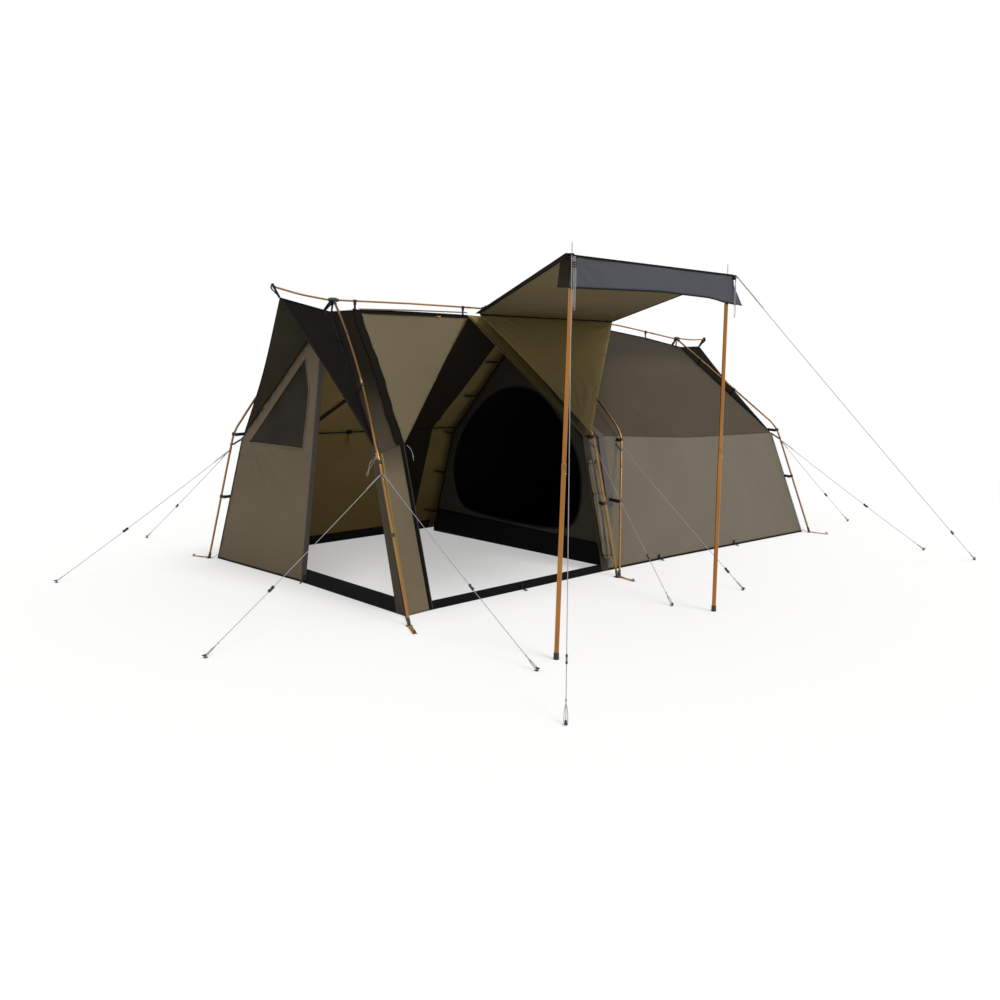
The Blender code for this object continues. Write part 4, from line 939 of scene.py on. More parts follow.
def look(name):
    """One of the tent's finishes, made the first time that it is asked for."""
    ready = bpy.data.materials.get(name)
    if ready:
        return ready
    cloths = bpy.context.scene.tent_fabrics
    if name in CLOTHS:
        colour, factor, spread, settings, *low = CLOTHS[name]
        settings = dict(settings)
        pitch = cloths.thread * settings.pop("coarse", 1)
        below = (tinted(getattr(cloths, low[0]), low[1]), *low[2:]) if low else None
        return woven(name, tinted(getattr(cloths, colour), factor), pitch, spread, low=below, **settings)
    make, group, colour, factor, *values = OTHERS[name]
    colour = getattr(getattr(bpy.context.scene, f"tent_{group}"), colour)
    if make is anodised and len(values) > 1:
        values[1] = tinted(colour, values[1])
    return make(name, tinted(colour, factor), *values)


def canopy_top(x):
    """Height of the canopy's ridge line, peaks included, at x."""
    line = [Vector(PEAK[-1]), Vector(APEX[-1]), *(roof_ridge(s) for s in SEAM_X), Vector(APEX[1]), Vector(PEAK[1])]
    for a, b in zip(line, line[1:]):
        if x <= b.x:
            return a.z + (b.z - a.z) * (x - a.x) / (b.x - a.x)
    return PEAK[1][2]


def sleeve(shape, line, start, end, radius, slot):
    """A short sleeve round a pole's line, between two lengths along it, with rolled ends."""
    total = line_length(line)
    points = [along_line(line, mark / total) for mark in (start, start + 0.0015, end - 0.0015, end)]
    shape.tube(points, [radius - 0.0011, radius, radius, radius - 0.0011], 24, slot)


def symmetric(half, long, middle):
    """A turned profile of a length, from its first half and the radius at its middle."""
    return [*half, (long / 2, middle), *((long - h, r) for h, r in half[::-1])]


def collar(long, radius, proud):
    """The profile of a ring round a pole, with broken edges."""
    return [(0, radius + 0.0006), (0.001, radius + proud), (long - 0.001, radius + proud), (long, radius + 0.0006)]


def sockets(shape, lines, back, profile):
    """The sockets of a hub, one on the upper end of each pole."""
    for line in lines:
        way = (line[-2] - line[-1]).normalized()
        shape.lathe(line[-1] - way * back, way, profile, 28)


def ridge_patch(shape, spot, half, lift=0.0):
    """A patch of webbing sewn over the ridge of the canopy."""
    line = [spot + vec(0, y, -abs(y) * 1.06) for y in (-half, -half / 2, 0.0, half / 2, half)]
    shape.ribbon(line, UP, 0.020, 0.0015, 1, lift)


HUB_HALF, POLE_ENTRY = 0.0425, 0.015    # half a hub's length; the straight end of a pole beside it


class TENT_OT_ridge(bpy.types.Operator):
    """Ridge pole and the two tips that hold out the canopy's points"""
    bl_idname = "tent.ridge"
    bl_label = "Ridge pole"

    def execute(self, context):
        radius = context.scene.tent_frame.ridge_radius
        reach = HUB_X - HUB_HALF - GAP
        line = [vec(-reach, 0, HUB_Z[-1]), vec(-reach + POLE_ENTRY, 0, HUB_Z[-1])]
        line += smooth_line([(x, 0, z) for x, z in (*RIDGE[1:-1], (reach - POLE_ENTRY, HUB_Z[1]))], 8)
        line.append(vec(reach, 0, HUB_Z[1]))
        pole = Shape().tube(line, radius, 28)
        for place in (1.24, 2.48, 3.72):
            sleeve(pole, line, place, place + 0.055, radius + 0.0011, 1)
        put(pole.build("ridge_pole_tube", "pole_metal", "ferrule_metal"), "gold_anodised", "ridge_pole")
        for side, name in SIDES:
            self.tip(side, f"ridge_tip_{name}", radius)
        return {"FINISHED"}

    def tip(self, side, node, radius):
        """One upturned end of the ridge, its cap and the webbing loop that it holds out."""
        start = vec(side * (HUB_X + HUB_HALF + GAP), 0, HUB_Z[side])
        end = vec(side * TIP_X, 0, TIP_Z[side])
        entry = start + vec(side * POLE_ENTRY, 0, 0)
        line = [start, *smooth_line([entry, entry.lerp(end, 0.5) - UP * 0.008, end], 10)]
        way = (end - line[-3]).normalized()
        tip = Shape().tube(line, radius, 28)
        tip.lathe(end - way * 0.016, way, [(0, radius), (0.001, radius + 0.0018), (0.016, radius + 0.0022),
                                           (0.0195, radius + 0.001), (0.0205, 0.002)], 24, 2)
        top = end + vec(side * 0.0045, 0, 0.021)
        foot = Vector(PEAK[side]) + vec(side * 0.004, 0, 0.0012)
        loop = smooth_line([top, top.lerp(foot, 0.35) + vec(side * 0.002, 0, 0), foot], 6)
        tip.ribbon(loop, vec(side, 0, 0.1), 0.030, 0.0022, 3)
        back = smooth_line([top - UP * 0.0002, end + vec(side * 0.012, 0, 0.006),
                            end + vec(side * 0.010, 0, -0.018), foot + UP * 0.006], 5)
        tip.ribbon(back, vec(side, 0, 0), 0.019, 0.0014, 3)
        put(tip.build(f"{node}_tube", "pole_metal", "ferrule_metal", "moulding", "black_webbing"),
            "gold_anodised", node)


class TENT_OT_arches(bpy.types.Operator):
    """End arches and middle arches, each in two bent halves with sleeved joints"""
    bl_idname = "tent.arches"
    bl_label = "Arch poles"

    def execute(self, context):
        for number, (side, name) in enumerate(SIDES):
            for face, word in FACES:
                self.pole(arch_line(side, face), f"arch_{word}_{name}", face)
                self.pole(middle_line(number, face), f"middle_arch_{word}_{name}", face)
        return {"FINISHED"}

    def pole(self, line, node, face):
        radius = bpy.context.scene.tent_frame.arch_radius
        shape = Shape().tube(line, radius, 28)
        low = (BEND_SIDE[face][1] - BEND_REACH) * 1.03
        for start in (low - 0.06, low + 0.75):
            sleeve(shape, line, start, start + 0.05, radius + 0.0011, 1)
        sleeve(shape, line, 0.0, 0.045, radius + 0.0022, 2)
        put(shape.build(f"{node}_tube", "arch_metal", "ferrule_metal", "moulding"), "gold_anodised", node)


HUB_PROFILE = symmetric([(0, 0.0105), (0.0008, 0.0120), (0.014, 0.0125), (0.016, 0.0155), (0.024, 0.0175)],
                        2 * HUB_HALF, 0.018)
HUB_SOCKET = [(0, 0.0120), (0.010, 0.0120), (0.032, 0.0112), (0.034, 0.0100), (0.034, 0.0087)]
COLLAR_PROFILE = symmetric([(0, 0.0084), (0.0, 0.0130), (0.004, 0.0150), (0.008, 0.0168)], 0.060, 0.0170)
COLLAR_SOCKET = [(0, 0.0120), (0.036, 0.0118), (0.038, 0.0100), (0.038, 0.0087)]
HANGER_X = {-1: (-2.182, -2.116), 1: (2.036, 2.092)}


class TENT_OT_hubs(bpy.types.Operator):
    """Moulded hubs with their sockets, and the straps that hang the canopy from them"""
    bl_idname = "tent.hubs"
    bl_label = "Hubs"

    def execute(self, context):
        for side, name in SIDES:
            middle = vec(side * HUB_X, 0, HUB_Z[side])
            shape = Shape().lathe(middle - vec(HUB_HALF, 0, 0), (1, 0, 0), HUB_PROFILE, 32)
            sockets(shape, (arch_line(side, face) for face in (-1, 1)), 0.012, HUB_SOCKET)
            for x in HANGER_X[side]:
                self.hanger(shape, middle, vec(x, 0, canopy_top(x) + 0.0016))
            put(shape.build(f"hub_{name}_body", "moulding", "black_webbing"), "black_moulding", f"hub_{name}")
        for number, (_, name) in enumerate(SIDES):
            x = MID_HUB_X[number]
            along = vec(1, 0, (ridge_z(x + 0.05) - ridge_z(x - 0.05)) / 0.1).normalized()
            shape = Shape().lathe(vec(x, 0, ridge_z(x)) - along * 0.030, along, COLLAR_PROFILE, 32)
            sockets(shape, (middle_line(number, face) for face in (-1, 1)), 0.009, COLLAR_SOCKET)
            put(shape.build(f"hub_middle_{name}_collar", "moulding"), "black_moulding", f"hub_middle_{name}")
        return {"FINISHED"}

    def hanger(self, shape, middle, foot):
        """A pair of straps from a hub down to a patch on the canopy's ridge."""
        start = middle + vec((foot.x - middle.x) * 0.25, 0, -0.006)
        for y in (-0.006, 0.006):
            rise = smooth_line([start + vec(0, y, 0), start.lerp(foot, 0.5) + vec(0, y * 0.8, 0),
                                foot + vec(0, y * 0.4, 0)], 5)
            shape.ribbon(rise, vec(0, y, 0), 0.010, 0.0015, 1)
        ridge_patch(shape, foot, 0.032, lift=0.0006)


def pole_clip(shape, centre, along, target, radius, width=0.026):
    """A moulded hook round a pole, and a strap from it to the fabric at target."""
    along = along.normalized()
    way = square(target - centre, along)
    shape.lathe(centre - along * 0.013, along, collar(0.026, radius, 0.0040), 20)
    side = along.cross(way)
    lug = centre + way * (radius + 0.008)
    shape.block(lug, way, side, along, (0.014, 0.0090, 0.024))
    shape.block(lug + way * 0.009, way, side, along, (0.007, 0.007, width + 0.007))
    start = lug + way * 0.007
    if (target - start).dot(way) > 0.004:
        shape.ribbon([start, start.lerp(target, 0.5), target], side, width, 0.0018, 1)


def wall_y(z, face):
    """Depth of the long wall at height z, beside the front door or on the back."""
    foot, top = (((0, -1.185, 0), (0, -0.955, 1.075)), ((0, 1.33, 0), (0, 0.95, 1.035)))[face > 0]
    return at_height(foot, top, z).y


CLIP_DROPS, ROOF_CLIPS = (0.035, 0.075, 0.045), (0.36, 0.72)
RIDGE_CLIP_X, LEAST_CLIP_X = (-1.911, -0.846, 1.576), -0.372


class TENT_OT_clips(bpy.types.Operator):
    """Clips and straps that hold the canopy to the ridge and arch poles"""
    bl_idname = "tent.clips"
    bl_label = "Pole clips"

    def execute(self, context):
        arch, ridge = context.scene.tent_frame.arch_radius, context.scene.tent_frame.ridge_radius
        for number, (side, name) in enumerate(SIDES):
            for face, word in FACES:
                foot, bend = corner_stem(side, face)
                heights = (*(bend.z - drop for drop in CLIP_DROPS), 0.55)
                shape = self.stem_clips(foot, bend, [seam_point(side, face, z) for z in heights], arch)
                upper = arch_line(side, face)[-17:]
                for share in ROOF_CLIPS:
                    spot = upper[round(share * 16)]
                    z = min(spot.z - 0.057, APEX[side][2] - 0.02)
                    target = at_height(SHOULDER[side, face], APEX[side], z)
                    pole_clip(shape, spot, upper[-1] - upper[0], target, arch, 0.018)
                self.fit(shape, f"arch_clips_{word}_{name}")
                foot, bend = middle_stem(number, face)
                targets = []
                for z in (bend.z - 0.05, bend.z - 0.085, bend.z - 0.055, 0.555):
                    x = at_height(foot, bend, z).x
                    targets.append(vec(max(x, LEAST_CLIP_X) if face < 0 else x, wall_y(z, face) + face * 0.001, z))
                self.fit(self.stem_clips(foot, bend, targets, arch), f"middle_clips_{word}_{name}")
        shape = Shape()
        for x in RIDGE_CLIP_X:
            target = vec(x, 0, canopy_top(x) + 0.002)
            pole_clip(shape, vec(x, 0, ridge_z(x)), vec(1, 0, 0), target, ridge, 0.018)
            ridge_patch(shape, target, 0.03)
        put(shape.build("ridge_clips", "moulding", "black_webbing"), "black_moulding")
        return {"FINISHED"}

    def fit(self, shape, name):
        put(shape.build(name, "moulding", "black_webbing", "grey_webbing", "steel"), "black_moulding")

    def stem_clips(self, foot, bend, targets, radius):
        """The clip at the bend, the slanting grey strap with its ring, and the lower clip on one upright pole."""
        shape = Shape()
        up = (bend - foot).normalized()
        high, strap_top, strap_low, low = targets
        pole_clip(shape, at_height(foot, bend, high.z), up, high, radius)
        start = at_height(foot, bend, strap_low.z - 0.075)
        away = square(strap_top - start, up)
        start = start + away * (radius + 0.002)
        shape.ribbon([start, start.lerp(strap_top, 0.5), strap_top], away.cross(up), 0.016, 0.0016, 2)
        shape.lathe(at_height(foot, bend, strap_low.z - 0.083), up, collar(0.016, radius, 0.0022), 20, 2)
        pole_clip(shape, at_height(foot, bend, low.z), up, low, radius)
        return shape


TAIL = ((0.010, 0.0052), (0.035, 0.006), (0.075, 0.0035), (0.12, 0.005), (0.16, 0.003), (0.188, 0.002))
FOOT_PEG = [(0, 0.0042), (0.014, 0.0042), (0.0145, 0.0075), (0.0175, 0.0078), (0.0185, 0.0055)]
CUP_SPREAD, TAIL_PEG = 0.013, 0.178


class TENT_OT_feet(bpy.types.Operator):
    """Foot cups with their pins, webbing tails and pegs"""
    bl_idname = "tent.feet"
    bl_label = "Feet and pegs"

    def execute(self, context):
        for face, word in FACES:
            for side, name in SIDES:
                self.foot(f"{word}_{name}", vec(side * FOOT_X, face * FOOT_Y, 0), 0, [arch_line(side, face)])
            self.foot(f"{word}_middle", vec(MID_FOOT_X, face * FOOT_Y, 0), CUP_SPREAD,
                      [middle_line(number, face) for number in (0, 1)])
        return {"FINISHED"}

    def foot(self, name, foot, spread, lines):
        """One foot plate with a cup for each pole that stands on it."""
        way = vec(*TAIL_WAY[name], 0).normalized()
        shape = Shape().lathe(foot, (0, 0, 1), [(0, 0.020 + spread), (0.0005, 0.022 + spread), (0.003, 0.0215 + spread),
                                                (0.004, 0.014 + spread)], 28)
        for line, shift in zip(lines, (-spread, spread)):
            centre, up = foot + vec(shift, 0, 0), (line[1] - line[0]).normalized()
            shape.lathe(centre + UP * 0.0062, up, [(0, 0.0118), (0.022, 0.0112), (0.024, 0.0098)], 24)
            shape.lathe(centre + up * 0.026, up.cross(way), [(-0.013, 0.0018), (0.013, 0.0018)], 10, 3)
        tail = smooth_line([foot + way * reach + UP * z for reach, z in TAIL], 4)
        shape.ribbon(tail, UP, 0.028, 0.0016, 1)
        shape.ribbon([p + UP * 0.0018 for p in tail[2:9]], UP, 0.021, 0.0014, 1)
        peg = foot + way * TAIL_PEG
        shape.lathe(peg + UP * 0.0005, (0, 0, 1), FOOT_PEG, 16, 2)
        shape.block(peg - way * 0.006 + UP * 0.0165, way, UP.cross(way), UP, (0.024, 0.011, 0.0045), 2)
        put(shape.build(f"foot_{name}_parts", "moulding", "foot_webbing", "peg_moulding", "steel"), "tan_webbing",
            f"foot_{name}")


POST_FOOT = [(0, 0.0150), (0.0008, 0.0168), (0.006, 0.0170), (0.012, 0.0160), (0.034, 0.0156), (0.0395, 0.0150),
             (0.0400, 0.0138)]
POST_CAP = [(0, 0.0100), (0.001, 0.0117), (0.010, 0.0120), (0.020, 0.0112), (0.0255, 0.0066), (0.0262, 0.0050)]
POST_SPIKE = [(0, 0.0034), (0.074, 0.0033), (0.0805, 0.0024), (0.082, 0.0010)]


class TENT_OT_posts(bpy.types.Operator):
    """The two poles that hold up the door panel, with their caps, ferrules and spikes"""
    bl_idname = "tent.posts"
    bl_label = "Awning poles"

    def execute(self, context):
        radius = context.scene.tent_frame.post_radius
        for number, name in enumerate(("near", "far")):
            pivot, foot = post_pivot(number), vec(POST_FOOT_X[number], POST_Y, 0.0)
            way, half = (pivot - foot).normalized(), (pivot - foot).length * 0.5
            shape = Shape().tube([foot + way * 0.03, foot + way * half], radius, 32)
            shape.tube([foot + way * half, pivot - UP * 0.010], radius * 0.9, 32)
            sleeve(shape, [foot, pivot], half - 0.030, half + 0.006, radius + 0.0012, 1)
            button = [(radius - 0.001, 0.0034), (radius + 0.0025, 0.0030)]
            shape.lathe(foot + way * (half - 0.05), (0.3, -1, 0), button, 16, 3)
            shape.lathe(foot, UP, POST_FOOT, 32, 2)
            shape.lathe(pivot - UP * 0.016, UP, POST_CAP, 32, 2)
            shape.lathe(pivot + UP * 0.009, UP, POST_SPIKE, 18, 3)
            put(shape.build(f"awning_pole_{name}_tube", "post_metal", "ferrule_metal", "moulding", "steel"),
                "gold_anodised", f"awning_pole_{name}", body=f"{name}_pole")
        return {"FINISHED"}


def planar(a, b, c):
    """A flat surface through three points: its spot function, and the flat place of a point."""
    a, b, c = Vector(a), Vector(b), Vector(c)
    ex = (b - a).normalized()
    ey = square(c - a, ex)

    def spot(u, v):
        return a + ex * u + ey * v

    def flat(p):
        return ((Vector(p) - a).dot(ex), (Vector(p) - a).dot(ey))
    return spot, flat


def end_face(y, z):
    """A point of the open half of the left end."""
    return vec(seam_point(-1, -1, z).x, y, z)


ZIP_LOW, ZIP_HIGH = end_face(END_ZIP[0], 0.0), end_face(END_ZIP[1], END_ZIP_TOP)    # ends of the end door's zip


def left_point(y, z):
    """A point of the left end wall, between its straight zip line and the arch seam behind it."""
    near = at_height(ZIP_LOW, ZIP_HIGH, z)
    far = seam_point(-1, 1, z)
    span = far.y - near.y
    return near.lerp(far, (y - near.y) / span) if span > 1e-3 else end_face(y, z)


def tape(shape, points, facing, width=0.018, lift=0.0004, thick=0.0014):
    """A binding or seam tape laid on the cloth along a line."""
    points = [Vector(p) for p in points]
    fine = []
    for a, b in zip(points, points[1:]):
        parts = max(1, round((b - a).length / 0.08))
        fine += [a.lerp(b, k / parts) for k in range(parts)]
    shape.ribbon([*fine, points[-1]], facing, width, thick, 0, lift)


FRONT_OUT, BACK_OUT = vec(0, -0.98, 0.2), vec(0, 0.96, 0.28)
LEFT_OUT, RIGHT_OUT = vec(-1, 0, 0.08), vec(1, 0, 0.1)
ROOF_FRONT_OUT, ROOF_BACK_OUT = vec(0, -0.7, 0.72), vec(0, 0.7, 0.72)
STRIP_TOP_X, DOOR_TOP_X = -1.87, -0.80


def divider(upper, lower, left, right, finish):
    """A band of painted shade on a panel's lining inside the tent: left and right hold the x of its sides, above and
    below.
    """
    _, wide, high = ruled(upper, lower)

    def along(line, x):
        return (x - line[0][0]) / (line[-1][0] - line[0][0]) * wide
    return (*(((along(upper, a), 0.0), (along(lower, b), high)) for a, b in (left, right)), finish, "divider_cloth")


class TENT_OT_roof(bpy.types.Operator):
    """Roof panels in front of and behind the ridge"""
    bl_idname = "tent.roof"
    bl_label = "Roof"

    def execute(self, context):
        top, apex = roof_ridge(STRIP_TOP_X), roof_ridge(DOOR_TOP_X)
        ruled_panel("roof_left_strip", [APEX[-1], top], [SHOULDER[-1, -1], DOOR_LEFT], "strip_cloth lining_cloth",
                    ROOF_FRONT_OUT, "taupe_fabric", "roof_front_left", wave=0.002, seed=1.3)
        spot, flat = planar(top, apex, DOOR_LEFT)
        rim = [flat(top), flat(roof_ridge(-1.40)), flat(apex), flat(DOOR_LEFT)]
        panel("roof_left_triangle", rim, spot, "door_cloth lining_cloth", ROOF_FRONT_OUT, flat_size(rim),
              "taupe_fabric", "roof_front_left", sag=0.012, wave=0.003, seed=2.2, middle=(0.35, 0.35),
              anchors=[(*flat(DOOR_LEFT), 0.55, 0.005, 22, 0.4), (*flat(apex), 0.45, 0.004, 18, 1.0)])
        ridge = [roof_ridge(x) for x in SEAM_X[1:]] + [Vector(APEX[1])]
        eave = [DOOR_RIGHT, EAVE_RIGHT, SHOULDER[1, -1]]
        ruled_panel("roof_front_right_cloth", ridge, eave, "roof_cloth lining_cloth", ROOF_FRONT_OUT, "taupe_fabric",
                    "roof_front_right", sag=0.015, seed=3.1,
                    anchors=[(1, 1, 0.5, 0.006, 20, 0.3), (1, 0, 0.45, 0.005, 16, 0.9), (0.40, 1, 0.4, 0.004, 14, 0.2)],
                    band=(None, ((0.36, 0.0), (0.02, ruled(ridge, eave)[2])), "fold_cloth", "lining_cloth"))
        # The back roof's lining carries a band of painted shade inside the tent.
        ridge = [Vector(APEX[-1])] + [roof_ridge(x) for x in SEAM_X] + [Vector(APEX[1])]
        eave = [SHOULDER[-1, 1], SHOULDER[1, 1]]
        ruled_panel("roof_back_cloth", ridge, eave, "roof_cloth lining_cloth", ROOF_BACK_OUT, "olive_fabric",
                    "roof_back", step=0.04, sag=0.018, wave=0.005, seed=4.4,
                    anchors=[(0, 1, 0.6, 0.007, 18, 0.3), (1, 1, 0.6, 0.007, 18, 0.7), (0.42, 1, 0.45, 0.006, 16, 0.1),
                             (0.55, 1, 0.4, 0.005, 16, 0.8)],
                    band=divider(ridge, eave, (-0.78, -0.74), (-0.27, -0.415), "roof_cloth"))
        return {"FINISHED"}


WALL_ANCHORS = ((0, 0, 0.4, 0.005, 18, 0.5), (1, 0, 0.5, 0.006, 18, 0.1), (1, 1, 0.45, 0.006, 20, 0.8),
                (0, 1, 0.35, 0.005, 16, 0.3), (0.45, 1, 0.3, 0.004, 14, 0.6))


class TENT_OT_walls(bpy.types.Operator):
    """Long walls, the front corner strip and the jamb of the front door"""
    bl_idname = "tent.walls"
    bl_label = "Walls"

    def execute(self, context):
        right, foot, eave = Vector(DOOR_RIGHT), Vector(DOOR_RIGHT_FOOT), Vector(EAVE_RIGHT)
        jamb_top = right.lerp(eave, JAMB / (eave.x - right.x))
        jamb_foot = foot + vec(JAMB, -JAMB * 0.04, 0)
        back = [SHOULDER[-1, 1], SHOULDER[1, 1]], [HEM[-1, 1], HEM[1, 1]]
        wide_wall = {"step": 0.035, "anchors": WALL_ANCHORS}
        strip = {"step": 0.02, "wave": 0.0015}
        for node, upper, lower, finish, out, slot, relief in (
                ("wall_front_right", [jamb_top, eave, SHOULDER[1, -1]], [jamb_foot, HEM_MIDDLE, HEM[1, -1]],
                 "wall_cloth", FRONT_OUT, "taupe_fabric", {"sag": 0.010, "seed": 5.2, **wide_wall}),
                ("door_jamb_right", [right, jamb_top], [foot, jamb_foot], "zip_cloth", FRONT_OUT, "taupe_fabric",
                 {"seed": 6.3, **strip}),
                # The back wall's lining carries a band of painted shade inside the tent.
                ("wall_back", *back, "wall_cloth", BACK_OUT, "olive_fabric",
                 {"sag": 0.012, "seed": 7.4, "band": divider(*back, (-0.74, -0.62), (-0.415, -0.41), "wall_cloth"),
                  **wide_wall}),
                ("pillar_front_left", [SHOULDER[-1, -1], DOOR_LEFT], [HEM[-1, -1], DOOR_LEFT_FOOT], "pillar_cloth",
                 FRONT_OUT, "taupe_fabric", {"seed": 8.5, **strip})):
            ruled_panel(f"{node}_cloth", upper, lower, f"{finish} lining_cloth", out, slot, node, **relief)
        return {"FINISHED"}


END_ANCHORS = {
    "left": ((0.95, 1.05, 0.5, 0.007, 20, 0.3), (1.33, 0.0, 0.5, 0.006, 18, 0.6), (0.245, 1.62, 0.25, 0.003, 14, 0.2),
             (0.86, 1.0, 0.3, 0.004, 16, 0.7), (0.1, 0.1, 0.3, 0.004, 14, 0.2)),
    "right": ((-0.97, 0.97, 0.5, 0.007, 20, 0.3), (0.95, 1.02, 0.5, 0.007, 20, 0.8), (-1.33, 0, 0.5, 0.006, 16, 0.1),
              (1.33, 0, 0.5, 0.006, 16, 0.5), (0, 1.83, 0.4, 0.005, 18, 0.2)),
}
SILL_HIGH, DOOR_SILL_HIGH, NET_DEPTH = 0.11, 0.06, 0.0022


class TENT_OT_ends(bpy.types.Operator):
    """End walls, with the mesh window, the door posts and the sills"""
    bl_idname = "tent.ends"
    bl_label = "End walls"

    def execute(self, context):
        top, post_top = END_ZIP_TOP, END_POST_TOP
        rim = [(0.0, APEX[-1][2]), *((seam_point(-1, 1, z).y, z) for z in (top, SHOULDER[-1, 1][2], 0.0)),
               (END_ZIP[0], 0.0), (END_ZIP[1], top), (seam_point(-1, -1, top).y, top)]
        panel("end_wall_left_cloth", rim, left_point, "end_cloth lining_cloth", LEFT_OUT, (1.43, 2.02), "taupe_fabric",
              "end_wall_left", holes=[list(WINDOW)], step=0.03, wave=0.003, anchors=END_ANCHORS["left"], seed=9.1,
              edge=0.04)
        panel("window_net_left", list(WINDOW), lambda y, z: left_point(y, z) + vec(NET_DEPTH, 0, 0),
              "window_net window_net", LEFT_OUT, (0.68, 0.63), "grey_mesh", "window_mesh_left", step=0.03, wave=0.001,
              seed=9.6, thick=0.0006)
        rim = [p[1:] for p in (APEX[1], SHOULDER[1, -1], HEM[1, -1], HEM[1, 1], SHOULDER[1, 1])]
        panel("end_wall_right_cloth", rim, lambda y, z: end_point(1, y, z), "end_cloth lining_cloth", RIGHT_OUT,
              (2.66, 1.84), "taupe_fabric",
              "end_wall_right", step=0.04, sag=0.008, anchors=END_ANCHORS["right"], seed=10.7)
        rim = [(END_POST[0], post_top), (seam_point(-1, -1, post_top).y, post_top), SHOULDER[-1, -1][1:],
               HEM[-1, -1][1:], (END_POST[1], 0.0)]
        panel("pillar_end_left_cloth", rim, end_face, "roof_cloth lining_cloth", LEFT_OUT, (0.13, 1.14), "taupe_fabric",
              "pillar_end_left", step=0.02, wave=0.0015, seed=11.8)
        feet = [ZIP_LOW, end_face(END_POST[1], 0.0)]
        tops = [left_point(zip_line_y(SILL_HIGH), SILL_HIGH),
                at_height(feet[1], end_face(END_POST[0], post_top), SILL_HIGH)]
        ruled_panel("sill_left", tops, feet, "tub_cloth tub_cloth", LEFT_OUT, "black_fabric", "threshold_left",
                    step=0.022, wave=0.003, seed=12.4, edge=0.03)
        feet = [DOOR_LEFT_FOOT, DOOR_RIGHT_FOOT]
        tops = [at_height(a, b, DOOR_SILL_HIGH) for a, b in zip(feet, (DOOR_LEFT, DOOR_RIGHT))]
        ruled_panel("sill_front", tops, feet, "tub_cloth tub_cloth", FRONT_OUT, "black_fabric", "threshold_front",
                    step=0.02, wave=0.003, seed=13.2, edge=0.02)
        return {"FINISHED"}


class TENT_OT_visors(bpy.types.Operator):
    """Peaked visors held out by the ridge tips"""
    bl_idname = "tent.visors"
    bl_label = "Visors"

    def execute(self, context):
        for side, name in SIDES:
            for face, word in FACES:
                beside = vec(side * 0.0008, 0, 0)
                peak, apex = Vector(PEAK[side]), Vector(APEX[side]) + beside
                stop = Vector(SHOULDER[side, face]).lerp(Vector(APEX[side]), 0.02) + beside
                spot, flat = planar(peak, apex, stop)
                free = smooth_line([stop, peak.lerp(stop, 0.5) + vec(side * -0.02, 0, -0.01), peak], 8)
                rim = [flat(peak), flat(apex), flat(stop)] + [flat(p) for p in free[1:-1]]
                out = vec(side * 0.55, face * 0.55, 0.62)
                edge = Shape()
                tape(edge, free, out, 0.016, lift=0.0002)
                tape(edge, [apex, stop], out, 0.020, lift=0.0008)
                binding = put(edge.build(f"visor_binding_{word}_{name}", "binding_tape"), "dark_fabric")
                panel(f"visor_{word}_{name}_cloth", rim, spot, "visor_cloth visor_lining", out, flat_size(rim),
                      "dark_fabric", f"visor_{word}_{name}", pieces=[binding], step=0.022, sag=-0.006, wave=0.002,
                      seed=14.0 + side + face * 0.3, edge=0.03, anchors=[(*flat(peak), 0.5, 0.0012, 12, 0.4)])
        return {"FINISHED"}


PANEL_WIDE, PANEL_LONG = 1.60, 2.34
FLAP_XS, FLAP_START = (-0.80, -0.60, -0.285, 0.03, 0.31, 0.59, 0.87), (-0.59, -0.45)
FLAP_COVER, FLAP_BACK = 0.0253, 0.014       # height over the ridge, and the part behind it
BUTTON = [(0, 0.010), (0.001, 0.0125), (0.004, 0.0125), (0.005, 0.010), (0.0052, 0.002)]
EYELET = [(0, 0.0068), (0, 0.0120), (0.0012, 0.0125), (0.0040, 0.0125), (0.0050, 0.0118), (0.0050, 0.0068)]


